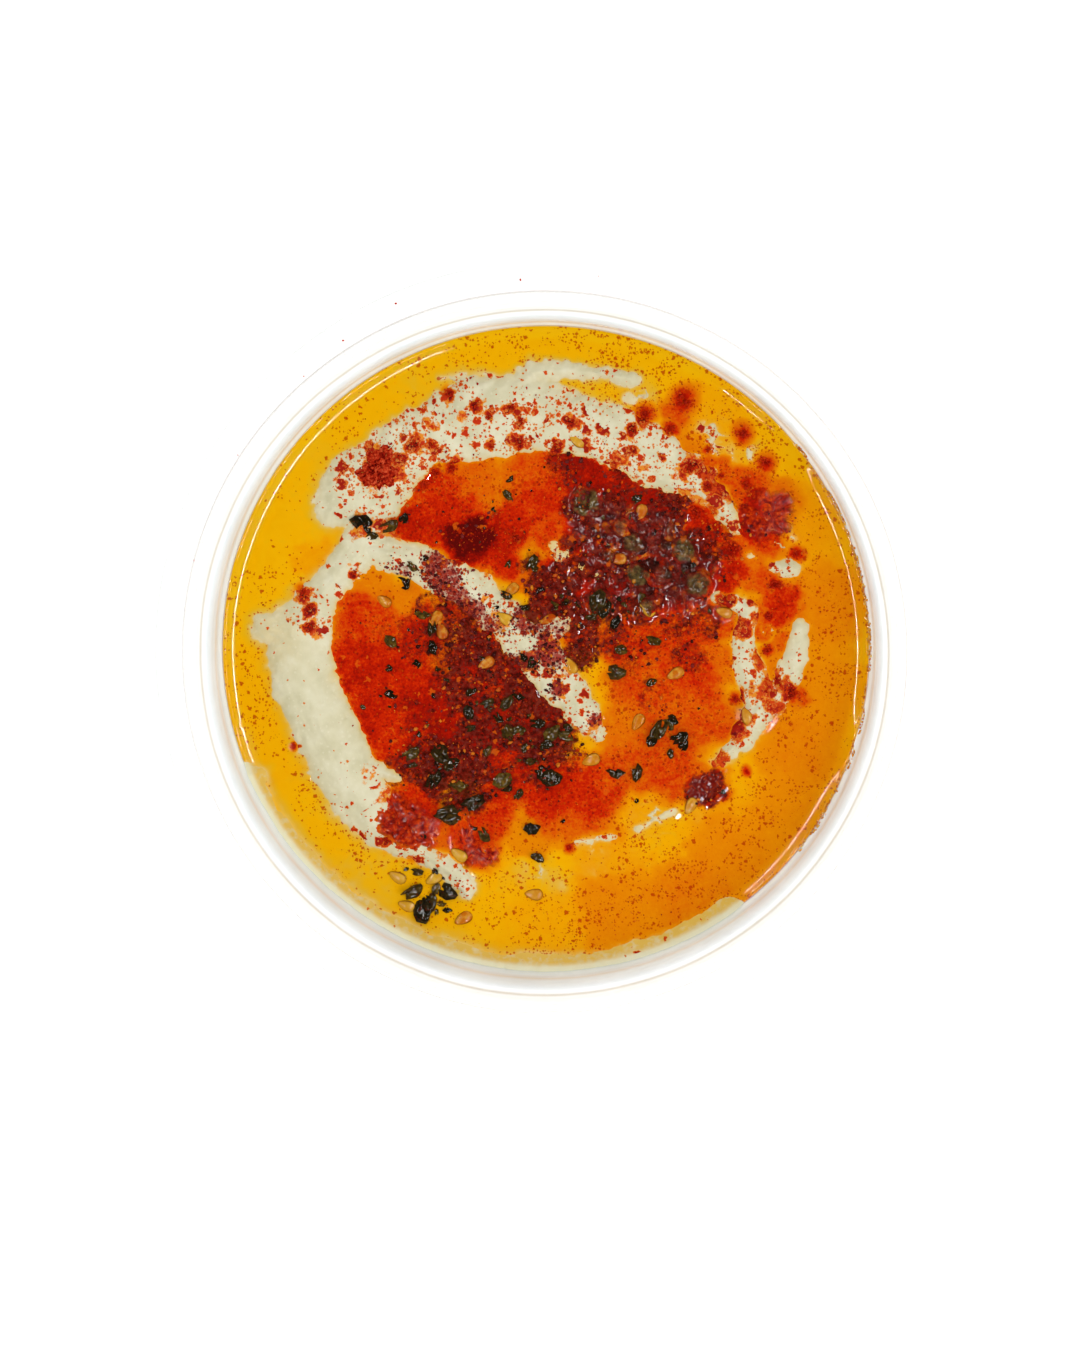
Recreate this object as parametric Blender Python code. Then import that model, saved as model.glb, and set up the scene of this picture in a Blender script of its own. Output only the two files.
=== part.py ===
"""A round clear tub of hummus. A spoon has left a swirl in the top, seasoned oil stands in
its hollows, and chilli paste, paprika and dark spice lie on it. Metres, +Z up, the origin at
the middle of the tub's base."""

import math

import bmesh
import bpy
from mathutils import Vector

MM = 0.001  # every size below is in millimetres until a mesh is made

# Tub: a thin clear shell, turned about Z.
WALL = 0.6  # thickness of the shell
TUB_SIDES = 48  # flats round the shell
FOOT_RADIUS = 45.6  # where the flat base ends
CORNER_RADIUS, CORNER_HEIGHT = 48.3, 2.6  # where the side wall starts
WALL_TOP = 38.0  # height at which the side wall ends
DRAFT = 1 / 6  # how far the wall leans out for each millimetre of height
LIP_RADIUS, LIP_HEIGHT = 54.6, 41.6  # where the wall meets the ledge
LEDGE_HEIGHT = 42.7  # the flat that the lid sits on
BEAD_INNER, BEAD_OUTER = 56.5, 59.2  # the raised bead round the mouth
RIM_HEIGHT = 45.0  # top of the bead, the highest point
FLANGE_HEIGHT = 41.4  # the flat collar outside the bead
FLANGE_RADIUS = 63.9  # the widest point
FLANGE_DROP = 1.6  # the collar's turned-down edge

# Contents.
GAP = 0.3  # clearance between pieces that touch
OIL_LEVEL = 32.4
OIL_DEPTH = 6.0  # how far the oil reaches under its level at most
CREST = 2.2  # how far a wide ridge stands above the oil
CREST_RUN = 3.0  # how far from the shore a ridge takes to rise
BASIN = 4.6  # how deep the open oil is
BASIN_RUN = 5.0  # how far from the shore the bottom takes to fall
RINGS = 19  # rings of points in the swirled surface
SHORE_RADIUS = 51.8  # where hummus starts to climb the wall along the front
SHORE_FROM, SHORE_TO = math.radians(193), math.radians(309)

# The swirl: each stroke of the spoon left a ridge, given as (x, y, half width) along it.
RIDGES = {
    "arch": [(-35, 23.4, 3.4), (-30, 26.5, 7.2), (-25.5, 31, 5.7), (-20, 35.5, 5), (-12, 38.3, 7),
             (-3, 39, 6.3), (5, 37.3, 5), (12, 35.3, 4.8), (18, 31.8, 5), (23, 29, 3.6),
             (28.5, 25, 2.2), (31.5, 20, 0.8)],
    "side": [(-29, 21, 4), (-31, 16, 3.2), (-35, 11.5, 3), (-38.5, 7, 3.6), (-41, 2.5, 5.4),
             (-40.3, -5, 5.4), (-37, -13, 5.2), (-33.8, -19, 5.6), (-31, -25, 5), (-27, -30, 3.6),
             (-21.5, -33.2, 2.3), (-16.5, -36.5, 1.9), (-13.2, -39.4, 2.1)],
    "tab": [(-42, 3.2, 2.6), (-46.4, 3.2, 2.7)],
    "tongue": [(-30, -19.5, 2), (-26, -20.8, 1.2), (-23.8, -21.9, 0.5)],
    "middle": [(-30, 17, 2.4), (-24.5, 15.6, 3), (-18, 12.8, 3.2), (-12, 9.8, 3.6), (-7, 4.8, 3.2),
               (-2, 0, 3.6), (3, -6, 3.5), (6.3, -10.5, 3), (9, -14.3, 1.2)],
    "spur": [(-1, 1.5, 3), (2.4, 4.2, 2)],
    "lobe": [(-4, 43.5, 2), (-2, 46, 1.9), (3, 46.4, 1.2), (9, 45.8, 1), (14.5, 44.8, 1.2)],
    "right": [(28, 8.8, 0.7), (31.5, 7.6, 1.6), (33.5, 7, 2), (33, 1, 1.8), (34, -4, 2.6),
              (36, -9, 2.8), (33, -14.3, 2), (30, -17.5, 1.4), (27.3, -20, 0.6)],
    "far_right": [(42.2, 3.6, 1.3), (41.6, -1.5, 2.1), (38.5, -8.5, 2.2)],
    "islet": [(38, 13.7, 1.2), (40.2, 13.8, 1.7)],
}

# Toppings as (x, y, long radius, short radius, turn in degrees, height above what they lie on).
CLUMPS = {
    "chilli_paste_left": (-23.4, -29.4, 6.2, 4.6, -42, 2.0),
    "chilli_paste_front": (-11.6, -32.6, 5.6, 4.0, -62, 1.7),
    "chilli_paste_right": (36.8, 22.8, 5.8, 4.4, 15, 1.6),
    "chilli_paste_edge": (26.6, -22.9, 4.6, 2.4, 38, 1.6),
    "paprika_mound": (-27.4, 30.2, 3.9, 3.0, 70, 1.7),
    "spice_heap": (17.5, 16.5, 12.5, 8.5, -38, 1.8),
}

COLOURS = {
    "tub": ((0.86, 0.87, 0.86), 0.12),
    "hummus": ((0.73, 0.66, 0.45), 0.55),
    "oil": ((0.78, 0.34, 0.01), 0.08),
    "chilli": ((0.33, 0.02, 0.01), 0.25),
    "paprika": ((0.42, 0.03, 0.01), 0.8),
    "spice": ((0.14, 0.035, 0.025), 0.35),
}


def material(kind):
    """The plain finish of one kind of thing, made once."""
    found = bpy.data.materials.get(kind)
    if found:
        return found
    colour, roughness = COLOURS[kind]
    made = bpy.data.materials.new(kind)
    made.use_nodes = True
    shader = made.node_tree.nodes["Principled BSDF"]
    shader.inputs["Base Color"].default_value = (*colour, 1)
    shader.inputs["Roughness"].default_value = roughness
    shader.inputs["Metallic"].default_value = 0
    return made


def add(name, points, faces, kind, smooth=False):
    """An object from points in millimetres, with its faces turned outwards."""
    mesh = bpy.data.meshes.new(name)
    mesh.from_pydata([Vector(point) * MM for point in points], [], faces)
    shell = bmesh.new()
    shell.from_mesh(mesh)
    bmesh.ops.recalc_face_normals(shell, faces=shell.faces)
    shell.to_mesh(mesh)
    shell.free()
    if smooth:
        mesh.shade_smooth()
    mesh.materials.append(material(kind))
    made = bpy.data.objects.new(name, mesh)
    bpy.context.scene.collection.objects.link(made)
    return made


def helper(made):
    """Marks an object that only cuts others."""
    made.hide_render = True
    made.display_type = "WIRE"
    return made


# The tub -----------------------------------------------------------------------------------

def wall_radius(height):
    """Inner radius of the side wall at a height."""
    return CORNER_RADIUS + DRAFT * (height - CORNER_HEIGHT)


def shell_line():
    """The inner face of the shell as (radius, height), from the base's middle to the collar."""
    bead_middle = (BEAD_INNER + BEAD_OUTER) / 2
    return [
        (0, WALL),
        (FOOT_RADIUS, WALL),
        (CORNER_RADIUS, CORNER_HEIGHT),
        (wall_radius(WALL_TOP), WALL_TOP),
        (wall_radius(WALL_TOP) + 0.2, LIP_HEIGHT - 2),
        (LIP_RADIUS, LIP_HEIGHT),
        (LIP_RADIUS + 0.5, LEDGE_HEIGHT),
        (BEAD_INNER - 0.5, LEDGE_HEIGHT),
        (BEAD_INNER, LEDGE_HEIGHT + 0.6),
        (BEAD_INNER + 0.2, RIM_HEIGHT - 0.7),
        (bead_middle - 0.5, RIM_HEIGHT),
        (bead_middle + 0.5, RIM_HEIGHT),
        (BEAD_OUTER - 0.2, RIM_HEIGHT - 0.9),
        (BEAD_OUTER, FLANGE_HEIGHT + 0.5),
        (BEAD_OUTER + 0.6, FLANGE_HEIGHT),
        (FLANGE_RADIUS - 0.5, FLANGE_HEIGHT),
        (FLANGE_RADIUS, FLANGE_HEIGHT - 0.5),
        (FLANGE_RADIUS, FLANGE_HEIGHT - FLANGE_DROP),
    ]


def offset_line(line, distance):
    """The line moved sideways, to the right of its direction, each corner along its bisector."""
    moved = []
    for index, (radius, height) in enumerate(line):
        before = Vector(line[max(index - 1, 0)])
        after = Vector(line[min(index + 1, len(line) - 1)])
        here = Vector((radius, height))
        sides = []
        for run in (here - before, after - here):
            if run.length > 0:
                run.normalize()
                sides.append(Vector((run.y, -run.x)))
        bisector = sum(sides, Vector((0, 0))).normalized()
        stretch = 1 / max(bisector.dot(sides[0]), 0.5)
        moved.append(here + bisector * distance * stretch)
    moved[0].x = 0
    return [(point.x, point.y) for point in moved]


def make_tub():
    inner = shell_line()
    outer = offset_line(inner, WALL)
    profile = inner + outer[::-1]
    mesh = bpy.data.meshes.new("tub")
    edges = [(index, index + 1) for index in range(len(profile) - 1)]
    mesh.from_pydata([Vector((radius, 0, height)) * MM for radius, height in profile], edges, [])
    mesh.materials.append(material("tub"))
    tub = bpy.data.objects.new("tub", mesh)
    bpy.context.scene.collection.objects.link(tub)
    turn = tub.modifiers.new("turn", "SCREW")
    turn.steps = turn.render_steps = TUB_SIDES
    turn.use_merge_vertices = True
    turn.merge_threshold = 0.00001
    return tub


# The swirled surface -----------------------------------------------------------------------

def inside_stroke(x, y, stroke):
    """How far (x, y) is inside a ridge's outline; below zero outside it."""
    best = -1e9
    for (x0, y0, w0), (x1, y1, w1) in zip(stroke, stroke[1:]):
        run_x, run_y = x1 - x0, y1 - y0
        along = ((x - x0) * run_x + (y - y0) * run_y) / (run_x * run_x + run_y * run_y)
        along = min(max(along, 0), 1)
        away = math.hypot(x - x0 - along * run_x, y - y0 - along * run_y)
        best = max(best, w0 + (w1 - w0) * along - away)
    return best


def inside_shore(x, y):
    """The same for the hummus that climbs the wall along the front."""
    angle = math.atan2(y, x) % math.tau
    past_end = max(SHORE_FROM - angle, angle - SHORE_TO, 0)
    return math.hypot(x, y) - SHORE_RADIUS - past_end * SHORE_RADIUS


def swirl_height(x, y):
    """Height of the hummus: above the oil inside a ridge's outline, below it elsewhere."""
    inside = max(inside_stroke(x, y, stroke) for stroke in RIDGES.values())
    inside = max(inside, inside_shore(x, y))
    if inside > 0:
        return OIL_LEVEL + CREST * (1 - math.exp(-inside / CREST_RUN))
    return OIL_LEVEL - BASIN * (1 - math.exp(inside / BASIN_RUN))


def contents_radius(height):
    """Radius of the contents at a height, clear of the flats of the wall."""
    return wall_radius(height) * math.cos(math.pi / TUB_SIDES) - GAP


def disc_points(height_at):
    """Points of a round surface: one in the middle, then rings of 6, 12, 18 and so on."""
    points = [(0, 0, height_at(0, 0))]
    for ring in range(1, RINGS + 1):
        for step in range(6 * ring):
            angle = math.tau * step / (6 * ring)
            radius = contents_radius(OIL_LEVEL) * ring / RINGS
            x, y = radius * math.cos(angle), radius * math.sin(angle)
            height = height_at(x, y)
            if ring == RINGS:
                x, y = (contents_radius(height) / radius * value for value in (x, y))
            points.append((x, y, height))
    return points


def disc_faces():
    """Triangles between those rings, in each of the six sectors."""
    def point(ring, step):
        return 0 if ring == 0 else 1 + 3 * ring * (ring - 1) + step % (6 * ring)

    faces = []
    for ring in range(1, RINGS + 1):
        for sector in range(6):
            outer, inner = sector * ring, sector * (ring - 1)
            for step in range(ring):
                faces.append((point(ring, outer + step), point(ring, outer + step + 1),
                              point(ring - 1, inner + step)))
                if step < ring - 1:
                    faces.append((point(ring - 1, inner + step), point(ring, outer + step + 1),
                                  point(ring - 1, inner + step + 1)))
    return faces


def filled_solid(name, kind, raised=0.0, spread=0.0):
    """The hummus from its swirled top down to the tub's floor. Raised and spread a little, it
    is the cutter that gives the oil and the toppings their underside."""
    points = [(x, y, z + raised) for x, y, z in disc_points(swirl_height)]
    faces = disc_faces()
    around = 6 * RINGS
    rings = [list(range(len(points) - around, len(points)))]

    def add_ring(place):
        start = len(points)
        for step, index in enumerate(rings[0]):
            points.append(place(points[index], math.tau * step / around))
        rings.append(list(range(start, start + around)))

    def round_ring(radius, height):
        add_ring(lambda edge, angle: (radius * math.cos(angle), radius * math.sin(angle), height))

    floor = WALL + GAP
    if spread:
        add_ring(lambda edge, angle: (edge[0] + spread * math.cos(angle),
                                      edge[1] + spread * math.sin(angle), edge[2]))
        round_ring(contents_radius(OIL_LEVEL) + spread, floor)
    else:
        round_ring(contents_radius(CORNER_HEIGHT + GAP), CORNER_HEIGHT + GAP)
        round_ring(FOOT_RADIUS - 2 * GAP, floor)
    for upper, lower in zip(rings, rings[1:]):
        for step in range(around):
            after = (step + 1) % around
            faces.append((upper[step], upper[after], lower[after], lower[step]))
    points.append((0, 0, floor))
    for step in range(around):
        faces.append((rings[-1][step], rings[-1][(step + 1) % around], len(points) - 1))
    return add(name, points, faces, kind, smooth=True)


# Oil and toppings --------------------------------------------------------------------------

def drum(name, kind, low, high, sides, margin=0.0):
    """A solid disc that follows the wall's lean between two heights."""
    points, faces = [], []
    for height in (low, high):
        radius = contents_radius(height) + margin
        for step in range(sides):
            angle = math.tau * step / sides
            points.append((radius * math.cos(angle), radius * math.sin(angle), height))
    faces.append(list(range(sides))[::-1])
    faces.append(list(range(sides, 2 * sides)))
    for step in range(sides):
        after = (step + 1) % sides
        faces.append((step, after, sides + after, sides + step))
    return add(name, points, faces, kind)


def cut_away(made, cutter):
    cut = made.modifiers.new(f"clear_of_{cutter.name}", "BOOLEAN")
    cut.operation = "DIFFERENCE"
    cut.object = cutter


def keep_largest(made):
    """Applies the cuts and keeps the largest body, without the slivers that a cut can leave."""
    bpy.context.view_layer.update()
    graph = bpy.context.evaluated_depsgraph_get()
    mesh = bpy.data.meshes.new_from_object(made.evaluated_get(graph))
    shell = bmesh.new()
    shell.from_mesh(mesh)
    bmesh.ops.remove_doubles(shell, verts=shell.verts, dist=0.02 * MM)
    left = set(shell.verts)
    bodies = []
    while left:
        body, edge = set(), [left.pop()]
        while edge:
            here = edge.pop()
            body.add(here)
            fresh = {other.other_vert(here) for other in here.link_edges} & left
            left -= fresh
            edge.extend(fresh)
        bodies.append(body)
    bodies.sort(key=len)
    for body in bodies[:-1]:
        bmesh.ops.delete(shell, geom=list(body), context="VERTS")
    shell.to_mesh(mesh)
    shell.free()
    made.modifiers.clear()
    made.data = mesh


def make_clump(name, kind, sizes):
    """A lumpy low dome, a quarter sunk, that the cutters trim to what it lies on."""
    x, y, long_radius, short_radius, turn, height = sizes
    rows, columns = 5, 18
    turn = math.radians(turn)
    base = max(swirl_height(x, y), OIL_LEVEL)
    sunk = 1.5
    points, faces = [(x, y, base + height)], []
    for row in range(1, rows + 1):
        swing = math.pi / 2 * row / rows
        for column in range(columns):
            angle = math.tau * column / columns
            lump = 1 + 0.1 * math.sin(3 * angle + x) + 0.06 * math.sin(5 * angle + y)
            across = math.sin(swing) * lump
            u, v = long_radius * across * math.cos(angle), short_radius * across * math.sin(angle)
            points.append((x + u * math.cos(turn) - v * math.sin(turn),
                           y + u * math.sin(turn) + v * math.cos(turn),
                           base - sunk + (height + sunk) * math.cos(swing)))
    last = 1 + (rows - 1) * columns
    for column in range(columns):
        after = (column + 1) % columns
        faces.append((0, 1 + column, 1 + after))
        for row in range(rows - 1):
            start = 1 + row * columns
            faces.append((start + column, start + columns + column, start + columns + after,
                          start + after))
    faces.append([last + column for column in range(columns)][::-1])
    return add(name, points, faces, kind, smooth=True)


def clear_scene():
    for existing in list(bpy.data.objects):
        bpy.data.objects.remove(existing)


def main():
    clear_scene()
    make_tub()
    filled_solid("hummus", "hummus")
    bed = helper(filled_solid("bed_cutter", "hummus", raised=GAP, spread=2.0))
    oil = drum("oil", "oil", OIL_LEVEL - OIL_DEPTH, OIL_LEVEL, 2 * TUB_SIDES)
    cut_away(oil, bed)
    keep_largest(oil)
    pool = helper(drum("pool_cutter", "oil", OIL_LEVEL - OIL_DEPTH, OIL_LEVEL + GAP, TUB_SIDES, 1.0))
    for name, sizes in CLUMPS.items():
        kind = name.split("_")[0]
        clump = make_clump(name, kind, sizes)
        cut_away(clump, bed)
        cut_away(clump, pool)
        keep_largest(clump)


main()
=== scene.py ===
# %% [markdown]
# # A tub of hummus under seasoned oil
#
# The real thing is a clear deli tub. Hummus fills it to a finger's width below the rim, a spoon has left a
# swirl in its top, and amber oil stands in the hollows of the swirl. Chilli paste, paprika, dark spice,
# sesame and dried herb lie on both. This lesson dresses the solid model: every piece below is built around
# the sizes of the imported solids, and the solids themselves stay where they are.

# %% Load the solid model
import math

import bpy
import numpy as np
from mathutils import Matrix, Vector


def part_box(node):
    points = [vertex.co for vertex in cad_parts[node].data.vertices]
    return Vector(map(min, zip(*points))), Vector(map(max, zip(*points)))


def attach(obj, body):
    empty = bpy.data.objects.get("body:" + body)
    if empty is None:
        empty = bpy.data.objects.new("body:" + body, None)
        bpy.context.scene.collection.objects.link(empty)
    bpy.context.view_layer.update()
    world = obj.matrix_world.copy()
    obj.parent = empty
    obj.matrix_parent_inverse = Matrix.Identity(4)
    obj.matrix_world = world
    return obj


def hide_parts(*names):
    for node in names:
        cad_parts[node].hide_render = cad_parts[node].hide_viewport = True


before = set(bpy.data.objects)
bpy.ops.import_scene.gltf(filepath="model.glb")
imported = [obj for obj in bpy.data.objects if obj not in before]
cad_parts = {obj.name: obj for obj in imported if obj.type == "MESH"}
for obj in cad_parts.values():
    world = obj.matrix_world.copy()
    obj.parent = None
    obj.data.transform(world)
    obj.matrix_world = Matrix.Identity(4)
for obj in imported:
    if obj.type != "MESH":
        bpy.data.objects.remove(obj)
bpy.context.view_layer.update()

MM = 0.001  # every size below is in millimetres until it becomes a mesh
print("solids", sorted(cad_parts))

# %% [markdown]
# ## Sizes
#
# The tub's wall leans out evenly, so one line gives its inner radius at any height. The contents reach a
# quarter of a millimetre into that wall: clear plastic on food shows no air gap, and neither should this.

# %% Sizes read from the solids
OIL_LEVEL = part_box("oil")[1].z / MM
RIM_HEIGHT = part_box("tub")[1].z / MM
FLANGE_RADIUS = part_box("tub")[1].x / MM
WALL = 0.6
BITE = 0.25  # how far the contents reach into the wall
CORNER_RADIUS, CORNER_HEIGHT, FOOT_RADIUS = 48.3, 2.6, 45.6
DRAFT = 1 / 6


def wall_radius(height):
    """Inner radius of the side wall at a height."""
    return CORNER_RADIUS + DRAFT * (height - CORNER_HEIGHT)


MOUTH = wall_radius(OIL_LEVEL)
print(f"oil level {OIL_LEVEL:.1f} mm, {2 * MOUTH:.1f} mm across there")

# %% [markdown]
# ## Small tools for shapes
#
# A round surface is drawn as a honeycomb of triangles: a point in the middle, then rings of 6, 12, 18 and
# so on. All triangles come out the same size, so the swirl is as fine at the wall as in the middle.
# Heights and colours are then worked out for all points at once with arrays.


# %% Meshes from arrays
def disc(rings, radius):
    """x and y of a honeycomb disc, and its triangles."""
    x, y = [np.zeros(1)], [np.zeros(1)]
    for ring in range(1, rings + 1):
        angle = np.arange(6 * ring) * (math.tau / (6 * ring))
        x.append(radius * ring / rings * np.cos(angle))
        y.append(radius * ring / rings * np.sin(angle))
    faces = []
    for ring in range(1, rings + 1):
        outer = 1 + 3 * ring * (ring - 1)
        inner = 1 + 3 * (ring - 1) * (ring - 2) if ring > 1 else 0
        around, within = 6 * ring, max(6 * (ring - 1), 1)
        for sector in range(6):
            for step in range(ring):
                a = outer + sector * ring + step
                b = outer + (sector * ring + step + 1) % around
                c = inner + (sector * (ring - 1) + step) % within
                faces.append((a, b, c))
                if step < ring - 1:
                    faces.append((c, b, inner + (sector * (ring - 1) + step + 1) % within))
    return np.concatenate(x), np.concatenate(y), np.array(faces)


def piece(name, points, faces, finish=None, amounts=None, smooth=True):
    """A new object from points in millimetres, with named amounts stored on its points."""
    mesh = bpy.data.meshes.new(name)
    points = np.asarray(points, np.float64) * MM
    if isinstance(faces, np.ndarray) and faces.shape[1] == 3:
        mesh.vertices.add(len(points))
        mesh.vertices.foreach_set("co", points.ravel())
        mesh.loops.add(3 * len(faces))
        mesh.loops.foreach_set("vertex_index", faces.ravel().astype(np.int32))
        mesh.polygons.add(len(faces))
        mesh.polygons.foreach_set("loop_start", np.arange(0, 3 * len(faces), 3, dtype=np.int32))
        mesh.update(calc_edges=True)
    else:
        mesh.from_pydata(points.tolist(), [], [tuple(int(i) for i in face) for face in faces])
    for key, values in (amounts or {}).items():
        mesh.attributes.new(key, "FLOAT", "POINT").data.foreach_set("value", np.asarray(values, np.float32))
    if smooth:
        mesh.shade_smooth()
    if finish:
        mesh.materials.append(finish)
    made = bpy.data.objects.new(name, mesh)
    bpy.context.scene.collection.objects.link(made)
    print(name, len(mesh.vertices), "points", len(mesh.polygons), "faces")
    return made


def rim_edges(faces):
    """The edges that only one triangle has, in that triangle's direction."""
    edges = np.concatenate([faces[:, [0, 1]], faces[:, [1, 2]], faces[:, [2, 0]]])
    code = np.sort(edges, axis=1)
    _, where, count = np.unique(code[:, 0] * 10**7 + code[:, 1], return_index=True, return_counts=True)
    return edges[where[count == 1]]


def closed_body(top, count):
    """Faces of a thin closed body: the top, the same below it, and a wall round every border.

    The points below are numbered count higher than those above them."""
    borders = rim_edges(top)
    a, b = borders[:, 0], borders[:, 1]
    walls = np.concatenate([np.column_stack([b, a, a + count]), np.column_stack([b, a + count, b + count])])
    return np.concatenate([top, top[:, ::-1] + count, walls])


# %% [markdown]
# ## Random but repeatable texture
#
# Food is never even. `mottle` gives soft random hills of a chosen grain, and `pebbles` gives packed round
# lumps, as in a paste. Both come from seeded tables, so every run makes the same tub.


# %% Soft hills and round lumps
def mottle(x, y, grain, seed, octaves=3):
    """Soft hills from about -1 to 1."""
    total, strength, weight = np.zeros_like(x, float), 1.0, 0.0
    for octave in range(octaves):
        table = np.random.default_rng(seed + 101 * octave).uniform(-1, 1, (64, 64))
        u, v = x / grain * 2**octave + 640, y / grain * 2**octave + 640
        left, low = np.floor(u).astype(int), np.floor(v).astype(int)
        across, up = u - left, v - low
        across, up = across * across * (3 - 2 * across), up * up * (3 - 2 * up)
        near = table[left % 64, low % 64] * (1 - across) + table[(left + 1) % 64, low % 64] * across
        beyond = (low + 1) % 64
        far = table[left % 64, beyond] * (1 - across) + table[(left + 1) % 64, beyond] * across
        total += strength * (near * (1 - up) + far * up)
        weight += strength
        strength /= 2
    return total / weight * 1.6


def pebbles(x, y, spacing, seed, soft=False):
    """Round lumps from 0 between them to 1 on their tops, and a random number for each lump."""
    table = np.random.default_rng(seed).uniform(0, 1, (4, 64, 64))
    u, v = x / spacing + 640, y / spacing + 640
    left, low = np.floor(u).astype(int), np.floor(v).astype(int)
    best, tone = np.zeros_like(x, float), np.zeros_like(x, float)
    for across in (-1, 0, 1):
        for up in (-1, 0, 1):
            i, j = (left + across) % 64, (low + up) % 64
            away = np.hypot(left + across + table[0, i, j] - u, low + up + table[1, i, j] - v)
            size = 0.45 + 0.5 * table[2, i, j]
            dome = np.clip(1 - (away / size) ** 2, 0, 1) ** (1.6 if soft else 0.5) * (0.5 + size / 2)
            tone = np.where(dome > best, table[3, i, j], tone)
            best = np.maximum(best, dome)
    return best, tone


def soft_step(low, high, value):
    """0 below low, 1 above high, and a smooth rise between."""
    share = np.clip((value - low) / (high - low), 0, 1)
    return share * share * (3 - 2 * share)


# %% [markdown]
# ## The swirl
#
# One turn of a spoon piles the hummus into ridges. Each ridge is a stroke: a chain of points with the
# half width of the dry strip there. How far a point lies inside the nearest stroke gives both the shore
# line, at zero, and the height. A little noise in that distance makes the shore ragged, as real shores are.

# %% Where the spoon went
RIDGES = {
    "arch": [(-35, 23.4, 3.4), (-30, 26.5, 7.2), (-25.5, 31, 5.7), (-20, 35.5, 5), (-12, 38.3, 7),
             (-3, 39, 6.3), (5, 37.3, 5), (12, 35.3, 4.8), (18, 31.8, 5), (23, 29, 3.6),
             (28.5, 25, 2.2), (31.5, 20, 0.8)],
    "side": [(-29, 21, 4), (-31, 16, 3.2), (-35, 11.5, 3), (-38.5, 7, 3.6), (-41, 2.5, 5.4),
             (-40.3, -5, 5.4), (-37, -13, 5.2), (-33.8, -19, 5.6), (-31, -25, 5), (-27, -30, 3.6),
             (-21.5, -33.2, 2.3), (-16.5, -36.5, 1.9), (-13.2, -39.4, 2.1)],
    "tab": [(-42, 3.2, 2.6), (-46.4, 3.2, 2.7)],
    "tongue": [(-30, -19.5, 2), (-26, -20.8, 1.2), (-23.8, -21.9, 0.5)],
    "middle": [(-30, 17, 2.4), (-24.5, 15.6, 3), (-18, 12.8, 3.2), (-12, 9.8, 3.6), (-7, 4.8, 3.2),
               (-2, 0, 3.6), (3, -6, 3.5), (6.3, -10.5, 3), (9, -14.3, 1.2)],
    "spur": [(-1, 1.5, 3), (2.4, 4.2, 2)],
    "lobe": [(-4, 43.5, 2), (-2, 46, 1.9), (3, 46.4, 1.2), (9, 45.8, 1), (14.5, 44.8, 1.2)],
    "right": [(28, 8.8, 0.7), (31.5, 7.6, 1.6), (33.5, 7, 2), (33, 1, 1.8), (34, -4, 2.6),
              (36, -9, 2.8), (33, -14.3, 2), (30, -17.5, 1.4), (27.3, -20, 0.6)],
    "far_right": [(42.2, 3.6, 1.3), (41.6, -1.5, 2.1), (38.5, -8.5, 2.2)],
    "islet": [(38, 13.7, 1.2), (40.2, 13.8, 1.7)],
}
# Thin strips and spots that only just break the oil.
STREAKS = {
    "front": [(5.3, -32.2, 0.35), (8.6, -31.6, 0.5), (11.7, -31.2, 0.4)],
    "front_end": [(15.4, -30, 0.5), (18.8, -28, 0.35), (21.2, -26.9, 0.6)],
    "back_thread": [(-17, 45, 0.3), (-10, 45.5, 0.5), (-5, 44.6, 0.4)],
    "back_dot": [(13.8, 41.6, 0.9), (14.3, 41.2, 0.7)],
    "dot_high": [(40, 19.4, 0.8), (41.2, 18.7, 0.6)],
    "dot_low": [(33.6, 16, 0.7), (34.2, 15.4, 0.5)],
    "patch_high": [(1.2, 17.4, 0.9), (3.2, 16.4, 1.2), (2.4, 14.8, 0.7)],
    "patch_low": [(6.4, 13.2, 1.3), (8.6, 12.4, 1), (8.2, 10.9, 0.7)],
    "collar_tip": [(-50.2, -13.3, 0.3), (-49.5, -16, 0.6), (-48.5, -19, 0.8), (-47.3, -22, 1)],
}
# Places where a thin film of hummus is torn into threads: x, y, radius, how far the threads stand up.
LACE = [
    (27, 35, 5, 0.42), (32.5, 33, 4, 0.36), (24, 31, 3, 0.5), (38.5, 17.5, 3, 0.4),
    (2.6, 16, 2.8, 0.6), (7.6, 12.4, 2.6, 0.55), (18.5, -28, 4, 0.34), (29, -19.6, 2.6, 0.4),
    (9, -32, 3.6, 0.36), (-14, 44.4, 3.6, 0.4), (36.5, 3, 2.6, 0.34), (-1, -37, 3.4, 0.16),
    (16, 42, 3, 0.34), (-17, -36, 3, 0.34), (27, 29, 3, 0.5), (-29, 10, 2.4, 0.1),
]
CREST, CREST_RUN = 2.2, 3.0  # how far a wide ridge stands up, and how far from the shore it takes
STREAK_CREST = 0.5
BASIN, BASIN_RUN = 4.6, 5.0  # the same for the bottom of the oil, downwards
SHORE_RADIUS = 51.4
SHORE_FROM, SHORE_TO = math.radians(203), math.radians(306)
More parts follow.
